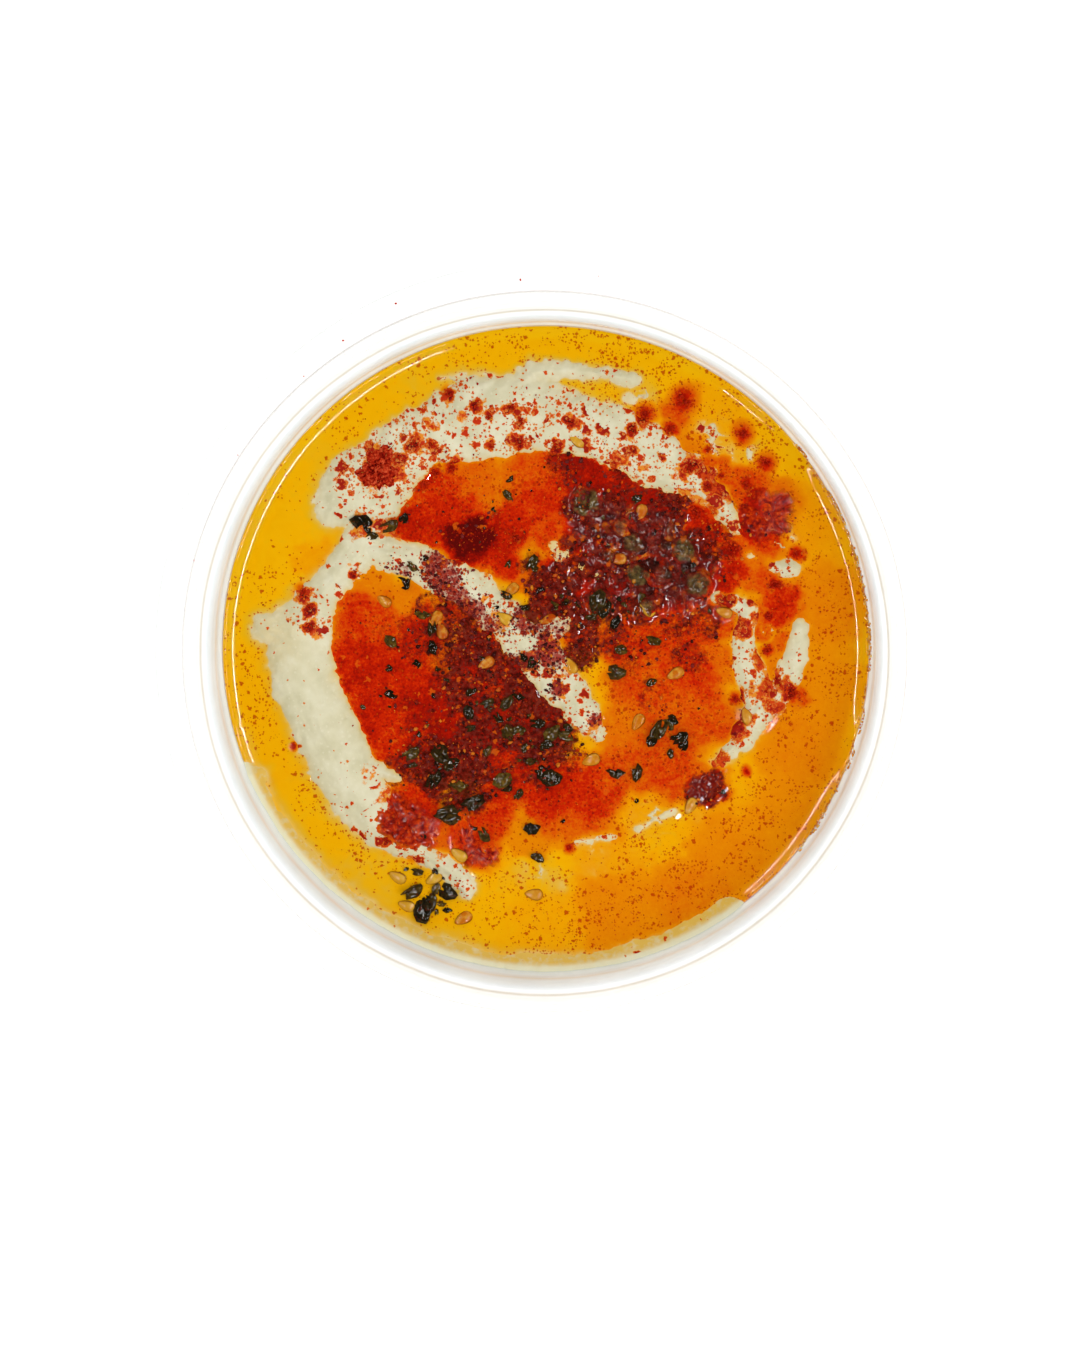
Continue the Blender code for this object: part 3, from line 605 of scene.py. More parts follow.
class Finish:
    """A material whose patterns are built from short calls."""

    def __init__(self, name, **uniform):
        self.material = bpy.data.materials.new(name)
        self.material.use_nodes = True
        self.tree = self.material.node_tree
        self.shader = self.tree.nodes["Principled BSDF"]
        self.place = self.node("ShaderNodeTexCoord").outputs["Object"]
        for key, value in uniform.items():
            self.shader.inputs[key.replace("_", " ")].default_value = value

    def node(self, kind, inputs=None, **settings):
        return add_node(self.tree, kind, inputs, **settings)

    def amount(self, name):
        """A number stored on the piece's points."""
        return self.node("ShaderNodeAttribute", attribute_name=name).outputs["Fac"]

    def maths(self, operation, *values, clamp=False):
        return self.node("ShaderNodeMath", dict(enumerate(values)), operation=operation,
                         use_clamp=clamp).outputs[0]

    def vector(self, operation, *values):
        return self.node("ShaderNodeVectorMath", dict(enumerate(values)), operation=operation).outputs[0]

    def scaled(self, value, low, high, to_low=0.0, to_high=1.0):
        """value from low..high to to_low..to_high, held at both ends."""
        inputs = {"Value": value, "From Min": low, "From Max": high, "To Min": to_low, "To Max": to_high}
        return self.node("ShaderNodeMapRange", inputs, interpolation_type="SMOOTHSTEP").outputs["Result"]

    def scaled_straight(self, value, low, high):
        """value from low..high to 0..1, in a straight line."""
        return self.node("ShaderNodeMapRange",
                         {"Value": value, "From Min": low, "From Max": high}).outputs["Result"]

    def grain(self, size, detail=2.0, rough=0.5):
        """Soft noise from 0 to 1, with features of this many millimetres."""
        inputs = {"Vector": self.place, "Scale": 1 / (size * MM), "Detail": detail, "Roughness": rough}
        return self.node("ShaderNodeTexNoise", inputs).outputs["Fac"]

    def dots(self, spacing, density, smallest=0.1, largest=0.42, ragged=0.35, flat=True, shift=0.0):
        """Round specks: 1 inside and 0 outside. density is the share of places that hold one."""
        jitter = self.node("ShaderNodeTexNoise", {"Vector": self.place, "Scale": 2.2 / (spacing * MM)})
        offset = self.vector("SUBTRACT", jitter.outputs["Color"], (0.5, 0.5, 0.5))
        place = self.vector("MULTIPLY_ADD", offset, (ragged * spacing * MM,) * 3, self.place)
        if shift:
            place = self.vector("ADD", place, (shift, shift, shift))
        cells = self.node("ShaderNodeTexVoronoi", {"Vector": place, "Scale": 1 / (spacing * MM)},
                          voronoi_dimensions="2D" if flat else "3D")
        parts = self.node("ShaderNodeSeparateColor", {0: cells.outputs["Color"]})
        shown = self.maths("LESS_THAN", parts.outputs[0], density)
        size = self.node("ShaderNodeMapRange",
                         {"Value": parts.outputs[1], "To Min": smallest, "To Max": largest}).outputs[0]
        share = self.maths("DIVIDE", cells.outputs["Distance"], size)
        inside = self.scaled(share, 1.0, 0.55)
        return self.maths("MULTIPLY", inside, shown)

    def ramp(self, factor, stops):
        """Colours along a factor, as (position, colour)."""
        made = self.node("ShaderNodeValToRGB", {0: factor})
        row = made.color_ramp.elements
        while len(row) < len(stops):
            row.new(1)
        for element, (position, colour) in zip(row, stops):
            element.position, element.color = position, colour
        return made.outputs[0]

    def over(self, share, below, above, kind="MIX"):
        """above laid over below by a share."""
        made = self.node("ShaderNodeMix", data_type="RGBA", blend_type=kind)
        for key, value in ((0, share), (6, below), (7, above)):
            if isinstance(value, bpy.types.NodeSocket):
                self.tree.links.new(value, made.inputs[key])
            else:
                made.inputs[key].default_value = value
        return made.outputs[2]

    def bump(self, height, depth, below=None):
        """Small relief of this many millimetres."""
        inputs = {"Height": height, "Strength": 1.0, "Distance": depth * MM}
        if below:
            inputs["Normal"] = below
        return self.node("ShaderNodeBump", inputs).outputs[0]

    def wear(self, **sockets):
        """Links patterns to the shader, and returns the material."""
        for key, value in sockets.items():
            self.tree.links.new(value, self.shader.inputs[key.replace("_", " ")])
        return self.material


# %% [markdown]
# ### Hummus
#
# Chickpea cream is pale, a little green next to the oil's orange, and never one colour: oil has soaked
# into it along the shores, paprika has stained it round each grain. The surface is moist, so it has a
# soft shine, and it has a fine tooth from ground chickpea skin.


# %% Hummus finish
def hummus_finish():
    hummus = Finish("hummus", IOR=1.4, Specular_IOR_Level=0.05)
    cream = hummus.ramp(hummus.grain(3.5, 4), [(0.3, tint(207, 200, 164)), (0.5, tint(217, 210, 176)),
                                               (0.7, tint(225, 219, 189))])
    # small paler dots over the cream
    pale_dots = hummus.dots(1.1, 0.5, 0.1, 0.3)
    cream = hummus.over(hummus.maths("MULTIPLY", pale_dots, 0.3), cream, tint(232, 226, 200))
    soaked = hummus.maths("MULTIPLY", hummus.amount("soaked"),
                          hummus.scaled(hummus.grain(1.2, 3), 0.25, 0.6, 0.5, 1.1),
                          clamp=True)
    cream = hummus.over(soaked, cream, tint(226, 184, 84))
    # painted light: the cream next to the wall is painted brighter, against the shade there
    cream = hummus.over(hummus.amount("climb"), cream, tint(240, 238, 208))
    stain = hummus.amount("stain")
    for size, low, high, colour in (
        (1.1, 0.2, 0.36, tint(228, 138, 36)), (0.8, 0.34, 0.48, tint(206, 66, 10)),
        (0.7, 0.5, 0.68, tint(160, 24, 8)), (0.8, 0.78, 0.95, tint(112, 12, 10)),
    ):
        ragged = hummus.maths("MULTIPLY_ADD", hummus.maths("SUBTRACT", hummus.grain(size, 4, 0.65), 0.5),
                              1.1, stain)
        cream = hummus.over(hummus.scaled(ragged, low, high), cream, colour)
    dust = hummus.maths("MULTIPLY", hummus.amount("dust"),
                        hummus.scaled(hummus.grain(4, 3, 0.6), 0.38, 0.62, 0.45, 1.5))
    for spacing, share, largest, halo, core, shift in (
        (3.1, 0.48, 0.48, tint(222, 108, 26), tint(162, 28, 10), 0.0),
        (1.9, 0.5, 0.46, tint(224, 120, 34), tint(192, 46, 8), 0.017),
        (1.0, 0.6, 0.46, tint(222, 128, 44), tint(204, 68, 14), 0.033),
        (0.55, 0.5, 0.5, tint(222, 164, 90), tint(212, 110, 40), 0.051),
    ):
        spots = hummus.dots(spacing, hummus.maths("MULTIPLY", dust, share), 0.08, largest, 0.8, shift=shift)
        cream = hummus.over(hummus.scaled(spots, 0.0, 0.4), cream, halo)
        cream = hummus.over(hummus.scaled(spots, 0.4, 0.9), cream, core)
    berry = hummus.amount("sumac")
    blush = hummus.scaled(hummus.maths("MULTIPLY", berry, hummus.grain(0.9, 4, 0.65)), 0.2, 0.5)
    cream = hummus.over(hummus.maths("MULTIPLY", blush, 0.95), cream, tint(160, 50, 40))
    grit = hummus.dots(0.6, hummus.maths("MULTIPLY", berry, 1.3), 0.25, 0.7, 0.7, shift=0.041)
    berries = hummus.ramp(hummus.grain(0.5, 3),
                          [(0.35, tint(84, 18, 20)), (0.5, tint(128, 34, 30)), (0.7, tint(190, 70, 40))])
    cream = hummus.over(grit, cream, berries)
    rough = hummus.scaled(hummus.grain(0.8, 3), 0.3, 0.7, 0.30, 0.55)
    tooth = hummus.bump(hummus.grain(0.4, 3, 0.6), 0.03)
    tooth = hummus.bump(hummus.grain(1.6, 2), 0.04, tooth)
    return hummus.wear(Base_Color=cream, Roughness=rough, Normal=tooth)


HUMMUS = hummus_finish()

# %% [markdown]
# ### Seasoned oil
#
# Clear oil takes its colour from depth. Where it is thin the pale hummus shows through as yellow, where
# it is deep it is amber, and where chilli has bled into it it runs from orange to deep red. Depth, chilli
# and darkness are stored on the skin's points, so one shader paints all of it without needing real
# refraction, which keeps the look in any viewer. Powder floats in it as fine dark dots.


# %% Oil finish
def uneven(finish, *layers):
    """Noise about zero from layers of (grain, strength)."""
    total = 0.0
    for size, strength in layers:
        total = finish.maths("MULTIPLY_ADD", finish.maths("SUBTRACT", finish.grain(size, 3, 0.6), 0.5),
                             strength, total)
    return total


def oil_colour(oil):
    """Colour of the seasoned oil, from the amounts stored on the points."""
    depth = oil.maths("MULTIPLY", oil.amount("depth"), oil.scaled(oil.grain(5, 4), 0.25, 0.75, 0.8, 1.2))
    amber = oil.ramp(oil.maths("DIVIDE", depth, 2.0), [
        (0.0, tint(226, 196, 124)), (0.05, tint(224, 184, 84)), (0.13, tint(227, 176, 44)),
        (0.25, tint(234, 176, 16)), (0.45, tint(241, 175, 3)), (1.0, tint(240, 172, 1))])
    chilli = oil.amount("chilli")
    lively = oil.scaled(chilli, 0.12, 0.6, 0.12, 1.0)
    thin = oil.scaled(depth, 0.0, 0.35, 0.72, 1.0)
    mottled = oil.maths("MULTIPLY", uneven(oil, (0.45, 0.45), (1.1, 0.4), (2.8, 0.35)), lively)
    heat = oil.maths("MULTIPLY_ADD", chilli, thin, mottled)
    red = oil.ramp(heat, [
        (0.0, tint(238, 170, 2)), (0.12, tint(238, 152, 2)), (0.25, tint(228, 128, 3)),
        (0.38, tint(222, 102, 4)),
        (0.5, tint(216, 72, 5)), (0.62, tint(204, 38, 4)), (0.75, tint(174, 22, 4)),
        (0.9, tint(132, 14, 6)),
        (1.0, tint(92, 11, 8))])
    colour = oil.over(oil.scaled(heat, 0.02, 0.2), amber, red)
    rim = oil.ramp(chilli, [(0.0, tint(240, 184, 8)), (0.12, tint(246, 178, 4)), (0.25, tint(242, 150, 3))])
    colour = oil.over(oil.maths("MULTIPLY", oil.amount("climb"), 0.75), colour, rim)
    dark = oil.amount("dark")
    clots = oil.maths("ADD", dark, uneven(oil, (0.4, 0.5), (1.0, 0.9), (2.6, 0.7)))
    shade = oil.ramp(oil.grain(0.9, 4, 0.65), [
        (0.3, tint(36, 12, 8)), (0.42, tint(72, 16, 10)), (0.5, tint(110, 20, 12)),
        (0.58, tint(104, 42, 32)),
        (0.66, tint(150, 40, 14)), (0.76, tint(190, 84, 18))])
    colour = oil.over(oil.maths("MULTIPLY", oil.scaled(clots, 0.3, 0.5), 0.55), colour, tint(128, 18, 10))
    colour = oil.over(oil.maths("MULTIPLY", oil.scaled(clots, 0.48, 0.62), 0.95), colour, shade)
    olive = oil.ramp(oil.grain(0.9, 4, 0.6),
                     [(0.32, tint(40, 32, 18)), (0.5, tint(78, 64, 32)), (0.68, tint(122, 104, 56))])
    colour = oil.over(oil.amount("olive"), colour, olive)
    powder = oil.maths("MULTIPLY", oil.amount("powder"),
                       oil.scaled(oil.grain(2.6, 3, 0.6), 0.44, 0.6, 0.05, 1.5))
    for spacing, share, core, shift in ((1.1, 0.6, tint(178, 40, 3), 0.0),
                                        (0.6, 0.7, tint(186, 58, 3), 0.019)):
        specks = oil.dots(spacing, oil.maths("MULTIPLY", powder, share), 0.14, 0.42, 0.7, shift=shift)
        colour = oil.over(oil.maths("MULTIPLY", specks, 0.8), colour, core)
    spiced = oil.maths("MAXIMUM", dark, oil.scaled(chilli, 0.3, 0.7), clamp=True)
    grains = oil.dots(0.7, oil.maths("MULTIPLY", spiced, 0.5), 0.1, 0.4, 0.7, shift=0.037)
    colour = oil.over(oil.maths("MULTIPLY", grains, 0.8), colour, tint(138, 20, 8))
    sparks = oil.dots(2.1, oil.maths("MULTIPLY", spiced, 0.3), 0.02, 0.3, 0.9, shift=0.057)
    return oil.over(oil.maths("MULTIPLY", sparks, 0.6), colour, tint(224, 96, 14))


def oil_finish():
    oil = Finish("seasoned_oil", IOR=1.47, Roughness=0.035, Specular_IOR_Level=0.35)
    lively = oil.scaled(oil.maths("MAXIMUM", oil.amount("dark"),
                                  oil.scaled(oil.amount("chilli"), 0.35, 0.9)), 0.1, 0.8)
    relief = oil.bump(oil.maths("MULTIPLY", oil.grain(0.5, 1), lively), 0.0012)
    relief = oil.bump(oil.maths("MULTIPLY", oil.grain(2.4, 1), oil.scaled(oil.amount("dark"), 0.1, 0.7)),
                      0.04, relief)
    return oil.wear(Base_Color=oil_colour(oil), Normal=relief)


OIL = oil_finish()

# %% [markdown]
# ### Paste, powder, spice, leaf and seed
#
# Each topping has its own way of taking light. The paste is wet and grainy, the paprika is dry and drinks
# light, the dark spice is a wet crust, dried leaf has a weak shine on its folds, and a sesame seed, thin
# and soaked in oil, has a painted glow in the middle and is darker at its edge.


# %% Topping finishes
def paste_finish():
    paste = Finish("chilli_paste", IOR=1.47, Roughness=0.03, Specular_IOR_Level=0.3)
    body = paste.ramp(paste.grain(0.8, 4, 0.65), [
        (0.3, tint(78, 10, 6)), (0.42, tint(128, 18, 4)), (0.52, tint(170, 32, 4)),
        (0.64, tint(206, 60, 5)),
        (0.74, tint(226, 104, 8))])
    flesh = paste.dots(1.1, 0.35, 0.12, 0.4, 0.6, flat=False)
    body = paste.over(paste.maths("MULTIPLY", flesh, 0.6), body, tint(216, 80, 14))
    shadows = paste.dots(0.8, 0.4, 0.1, 0.4, 0.6, flat=False, shift=0.011)
    body = paste.over(paste.maths("MULTIPLY", shadows, 0.7), body, tint(74, 10, 10))
    body = paste.over(paste.scaled(paste.amount("dark"), 0.42, 0.7, 0.0, 0.7), body, tint(78, 12, 8))
    body = paste.over(paste.scaled(paste.amount("edge"), 0.62, 0.98), body, oil_colour(paste))
    return paste.wear(Base_Color=body, Normal=paste.bump(paste.grain(0.9, 1), 0.002))


def powder_finish():
    powder = Finish("paprika_powder", IOR=1.4, Specular_IOR_Level=0.0)
    body = powder.ramp(powder.maths("ADD", powder.maths("MULTIPLY", powder.amount("tone"), 0.25),
                                    powder.grain(0.4, 4, 0.7)), [
        (0.42, tint(98, 10, 8)), (0.56, tint(152, 24, 10)), (0.68, tint(190, 50, 22)),
        (0.84, tint(216, 92, 54))])
    relief = powder.bump(powder.grain(0.3, 3, 0.7), 0.12)
    rough = powder.scaled(powder.grain(0.8), 0.3, 0.7, 0.65, 0.95)
    return powder.wear(Base_Color=body, Normal=relief, Roughness=rough)


def spice_finish():
    spice = Finish("dark_spice", IOR=1.47, Roughness=0.03, Specular_IOR_Level=0.35)
    tone = spice.maths("ADD", spice.amount("tone"), uneven(spice, (0.6, 0.9), (1.6, 0.5)))
    body = spice.ramp(tone, [
        (0.05, tint(30, 10, 6)), (0.25, tint(56, 12, 8)), (0.42, tint(92, 24, 18)),
        (0.55, tint(84, 12, 6)),
        (0.7, tint(150, 22, 6)), (0.85, tint(190, 46, 6)), (0.98, tint(214, 112, 18))])
    body = spice.over(spice.scaled(spice.grain(2.6, 3), 0.4, 0.6, 0.1, 0.9), body, oil_colour(spice))
    body = spice.over(spice.scaled(spice.amount("edge"), 0.5, 0.9), body, oil_colour(spice))
    olive = spice.ramp(spice.grain(0.9, 4, 0.6),
                       [(0.32, tint(38, 30, 18)), (0.5, tint(80, 66, 34)), (0.68, tint(126, 106, 60))])
    body = spice.over(spice.amount("olive"), body, olive)
    return spice.wear(Base_Color=body, Normal=spice.bump(spice.grain(0.9, 1), 0.002))


def crumb_finish():
    """Purple and brown grains, half dry."""
    crumb = Finish("spice_crumbs", IOR=1.4, Roughness=0.3, Specular_IOR_Level=0.1)
    body = crumb.ramp(crumb.maths("ADD", crumb.amount("tone"), uneven(crumb, (0.4, 0.3))), [
        (0.1, tint(58, 16, 12)), (0.35, tint(88, 22, 20)), (0.5, tint(116, 38, 36)),
        (0.66, tint(140, 26, 12)),
        (0.84, tint(184, 54, 12)), (0.98, tint(216, 124, 26))])
    return crumb.wear(Base_Color=body, Normal=crumb.bump(crumb.grain(0.4, 2), 0.04))


def leaf_finish():
    leaf = Finish("dried_herb", IOR=1.42, Roughness=0.07, Specular_IOR_Level=0.4)
    shade = leaf.maths("ADD", leaf.maths("MULTIPLY", leaf.amount("tone"), 0.35),
                       leaf.maths("MULTIPLY", leaf.grain(0.8, 4, 0.6), 0.7))
    body = leaf.ramp(shade, [
        (0.25, tint(14, 10, 6)), (0.42, tint(28, 22, 9)), (0.55, tint(46, 34, 12)),
        (0.66, tint(70, 52, 16)),
        (0.8, tint(112, 86, 28))])
    body = leaf.over(leaf.scaled(leaf.grain(0.6, 3), 0.55, 0.7, 0.0, 0.6), body, tint(92, 28, 10))
    return leaf.wear(Base_Color=body, Normal=leaf.bump(leaf.grain(0.9, 2, 0.5), 0.012))


def sesame_finish():
    sesame = Finish("oiled_sesame", IOR=1.45, Roughness=0.12, Specular_IOR_Level=0.25)
    tone_and_glow = sesame.ramp(sesame.amount("tone"), [(0.1, tint(204, 150, 36)), (0.5, tint(196, 106, 8)),
                                                    (0.9, tint(178, 66, 4))])
    # painted glow: lighter patches stand in for light passing through the thin soaked seed
    tone_and_glow = sesame.over(sesame.scaled(sesame.grain(0.9, 3), 0.4, 0.7, 0.0, 0.5), tone_and_glow,
                            tint(228, 180, 66))
    body = sesame.over(sesame.scaled(sesame.amount("edge"), 0.4, 0.9, 0, 0.9), tone_and_glow, tint(128, 62, 6))
    return sesame.wear(Base_Color=body, Normal=sesame.bump(sesame.grain(0.5, 2), 0.05))


def speck_finish():
    speck = Finish("chilli_specks", IOR=1.4, Roughness=0.55, Specular_IOR_Level=0.05)
    body = speck.ramp(speck.amount("tone"), [
        (0.0, tint(150, 22, 4)), (0.3, tint(182, 32, 4)), (0.6, tint(208, 50, 5)),
        (0.85, tint(224, 80, 8)),
        (1.0, tint(234, 124, 22))])
    body = speck.over(speck.maths("MULTIPLY", speck.grain(0.3, 2), 0.3), body, tint(150, 24, 6))
    return speck.wear(Base_Color=body, Normal=speck.bump(speck.grain(0.25, 2), 0.03))


def smear_finish():
    smear = Finish("oil_smear", IOR=1.45, Roughness=0.1)
    body = smear.ramp(smear.maths("ADD", smear.amount("tone"),
                                  smear.scaled(smear.grain(0.6, 3), 0, 1, -0.3, 0.3)), [
        (0.1, tint(236, 190, 90)), (0.4, tint(228, 156, 50)), (0.7, tint(212, 124, 40)),
        (0.95, tint(192, 90, 40))])
    return smear.wear(Base_Color=body, Normal=smear.bump(smear.grain(0.4, 2), 0.04))


def plastic_finish():
    """Clear sheet whose rim has painted light and shade in rings: colour and strength change with the
    radius.
    """
    plastic = Finish("clear_plastic", IOR=1.45, Specular_IOR_Level=0.12)
    parts = plastic.node("ShaderNodeSeparateXYZ", {0: plastic.place})
    flat = plastic.node("ShaderNodeCombineXYZ",
                        {"X": parts.outputs["X"], "Y": parts.outputs["Y"]}).outputs[0]
    radius = plastic.node("ShaderNodeVectorMath", {0: flat}, operation="LENGTH").outputs["Value"]
    wander = plastic.maths("MULTIPLY", plastic.maths("SUBTRACT", plastic.grain(18, 3), 0.5), 0.3 * MM)
    first, last = 51.6, 64.0  # the rings below start and end at these radii
    across = plastic.scaled_straight(plastic.maths("ADD", radius, wander), first * MM, last * MM)
    # The rings paint the rim's light and shade: white bands, grey lines at the bends, and a bright bluish
    # band on the wall above the oil; the tan line at 54.2 is oil left on the wall.
    rings = [  # radius in millimetres, screen colour, and how solid it looks
        (51.6, (240, 244, 246), 0.3), (52.8, (240, 250, 255), 0.75), (53.95, (240, 250, 255), 0.75),
        (54.2, (232, 208, 182), 0.75), (54.4, (232, 240, 244), 0.6), (55.2, (234, 242, 246), 0.5),
        (55.85, (252, 252, 252), 0.4), (56.15, (204, 192, 168), 0.6), (56.45, (252, 251, 246), 0.4),
        (57.3, (252, 250, 244), 0.3), (57.5, (236, 232, 222), 0.4), (57.8, (252, 250, 244), 0.3),
        (58.9, (252, 250, 246), 0.3), (59.2, (216, 208, 202), 0.5), (59.5, (250, 250, 250), 0.2),
        (60.2, (252, 252, 252), 0.08), (63.2, (252, 252, 252), 0.06), (63.7, (220, 224, 224), 0.3),
        (64.0, (208, 214, 214), 0.35)]
    stops = [((at - first) / (last - first), tint(*colour)) for at, colour, _ in rings]
    solids = [((at - first) / (last - first), (solid, solid, solid, 1)) for at, _, solid in rings]
    above = plastic.scaled(parts.outputs["Z"], (OIL_LEVEL + 1.1) * MM, (OIL_LEVEL + 2.1) * MM)
    body = plastic.over(above, tint(240, 244, 246), plastic.ramp(across, stops))
    # painted warm light: the front of the rim is tinted warm, as if lit from the oil
    warm_light_share = plastic.scaled(plastic.maths("ADD", parts.outputs["Y"],
                                        plastic.maths("MULTIPLY", parts.outputs["X"], -0.4)),
                          0.02, -0.06)
    body = plastic.over(plastic.maths("MULTIPLY", warm_light_share, 0.25), body, tint(250, 232, 216), "MULTIPLY")
    solid = plastic.over(above, (0.2, 0.2, 0.2, 1), plastic.ramp(across, solids))
    solid = plastic.maths("MULTIPLY", solid, plastic.scaled(plastic.grain(9, 3), 0.3, 0.7, 0.85, 1.0))
    rough = plastic.scaled(plastic.grain(6, 4), 0.35, 0.75, 0.06, 0.15)
    waves = plastic.bump(plastic.grain(7, 2), 0.03)
    return plastic.wear(Base_Color=body, Roughness=rough, Normal=waves, Alpha=solid)


PASTE, POWDER, SPICE = paste_finish(), powder_finish(), spice_finish()
LEAF, CRUMB = leaf_finish(), crumb_finish()
SESAME, SPECK, SMEAR, PLASTIC = sesame_finish(), speck_finish(), smear_finish(), plastic_finish()

# %% [markdown]
# ## The tub
#
# A thermoformed tub is one sheet of plastic, drawn into a mould and cut off at the collar. Turning its
# profile about the axis makes it. The profile is the inner face, its corners cut twice so that they are
# as round as drawn plastic, and the outer face is the same line moved out by the sheet's thickness.

# %% Profile of the sheet
WALL_TOP, LIP_RADIUS, LIP_HEIGHT, LEDGE_HEIGHT = 38.0, 54.6, 41.6, 42.7
BEAD_INNER, BEAD_OUTER, FLANGE_HEIGHT, FLANGE_DROP = 56.5, 59.2, 41.4, 1.6
TURNS = 216  # steps round the tub


def cut_corners(line, passes):
    """The line with each corner cut, again and again, so that it ends up round."""
    for _ in range(passes):
        softer = [line[0]]
        for (r0, h0), (r1, h1) in zip(line, line[1:]):
            softer.append((0.75 * r0 + 0.25 * r1, 0.75 * h0 + 0.25 * h1))
            softer.append((0.25 * r0 + 0.75 * r1, 0.25 * h0 + 0.75 * h1))
        line = [*softer, line[-1]]
    return line


def moved_out(line, distance):
    """The line moved to the right of its direction."""
    moved = []
    for index, (radius, height) in enumerate(line):
        before, after = Vector(line[max(index - 1, 0)]), Vector(line[min(index + 1, len(line) - 1)])
        run = (after - before).normalized()
        moved.append((max(radius + run.y * distance, 0), height - run.x * distance))
    return moved


def tub_profile():
    top = (BEAD_INNER + BEAD_OUTER) / 2
    inner = cut_corners([
        (0, WALL), (20, WALL), (FOOT_RADIUS, WALL), (CORNER_RADIUS, CORNER_HEIGHT),
        (wall_radius(20), 20), (wall_radius(WALL_TOP), WALL_TOP),
        (wall_radius(WALL_TOP) + 0.2, LIP_HEIGHT - 2),
        (LIP_RADIUS, LIP_HEIGHT), (LIP_RADIUS + 0.5, LEDGE_HEIGHT), (BEAD_INNER - 0.5, LEDGE_HEIGHT),
        (BEAD_INNER, LEDGE_HEIGHT + 0.6), (BEAD_INNER + 0.2, RIM_HEIGHT - 0.7), (top - 0.6, RIM_HEIGHT),
        (top + 0.6, RIM_HEIGHT), (BEAD_OUTER - 0.2, RIM_HEIGHT - 0.9),
        (BEAD_OUTER, FLANGE_HEIGHT + 0.5),
        (BEAD_OUTER + 0.6, FLANGE_HEIGHT), (61.6, FLANGE_HEIGHT), (FLANGE_RADIUS - 0.5, FLANGE_HEIGHT),
        (FLANGE_RADIUS, FLANGE_HEIGHT - 0.5), (FLANGE_RADIUS, FLANGE_HEIGHT - FLANGE_DROP)], 2)
    outer = moved_out(inner, WALL)
    return [(max(radius, 0), max(height, 0)) for radius, height in inner + outer[::-1]]


def turned(name, profile, finish):
    """A closed shape from a profile that starts and ends on the axis."""
    points, faces = [(0, 0, profile[0][1])], []
    rings = profile[1:-1]
    for radius, height in rings:
        for step in range(TURNS):
            angle = math.tau * step / TURNS
            points.append((radius * math.cos(angle), radius * math.sin(angle), height))
    points.append((0, 0, profile[-1][1]))
    for step in range(TURNS):
        after = (step + 1) % TURNS
        faces.append((0, 1 + step, 1 + after))
        for ring in range(len(rings) - 1):
            low, high = 1 + ring * TURNS, 1 + (ring + 1) * TURNS
            faces.append((low + step, high + step, high + after, low + after))
        last = 1 + (len(rings) - 1) * TURNS
        faces.append((last + step, len(points) - 1, last + after))
    return piece(name, points, faces, finish)


tub = turned("tub_shell", tub_profile(), PLASTIC)
tub.visible_shadow = False
tub.visible_glossy = False

# %% [markdown]
# ## Hummus and oil
#
# Both are drawn on the same honeycomb, so their shore is the true line where one surface passes through
# the other. The hummus runs down the wall to the tub's floor. The oil is a thin body: its skin on top,
# an underside buried just below the hummus, and a wall between them wherever it stops.

# %% The two bodies
RINGS = 216
BURIED = 0.15  # how far the oil's underside lies inside the hummus
DUST = [  # paprika dust on the dry ridges: x, y, radius, amount
    (-34, 24, 4, 0.22), (-35, 19, 3, 0.07), (-28, 30, 5, 1.15), (-28, 24, 3, 0.41),
    (-22, 35, 5, 1.01), (-14, 38, 5, 0.81), (-9, 43, 3, 0.16), (-6, 38, 4, 0.74), (2, 36, 4, 0.68),
    (8, 38, 4, 0.54), (12, 34, 4, 0.94), (18, 31, 4, 0.68), (22, 28, 3, 0.74), (29, 22, 3, 0.61),
    (-28, 15.5, 3, 0.22), (-35, 10, 3, 0.16), (-39, 6, 2.4, 0.68), (-45, 3, 3, 0.04),
    (-41, -4, 5, 0.02), (-37, -14, 5, 0.03), (-32, -23, 4, 0.11), (-28, -30, 2.4, 0.41),
    (-22, -34, 2, 0.94), (-15, -38, 2.4, 0.41), (-18, -32, 2, 0.68), (-24, 13, 3, 0.41),
    (-17, 11, 3, 1.01), (-12, 10, 2, 0.27), (-9, 7, 3, 0.68), (-4, 3, 3, 0.81), (0, -2, 3, 0.74),
    (4, -7, 3, 0.41), (8, -12, 2.4, 0.81), (2, 4, 2, 0.81), (32, 7, 2.4, 0.74), (34, -4, 3, 0.54),
    (36, -9, 3, 0.68), (30, -17, 2, 0.54), (42, 3, 2, 0.14), (41, -3, 2, 0.47), (39, 14, 2, 0.54),
    (0, 46, 2, 0.14), (9, 46, 3, 0.2), (2, 17, 3, 1.08), (8, 12, 3, 1.2), (8, -31.5, 3, 0.54),
    (26, 34, 4, 0.94), (-50, -25, 8, 0), (-25, -48, 9, 0.04), (10, -52, 8, 0.03),
]
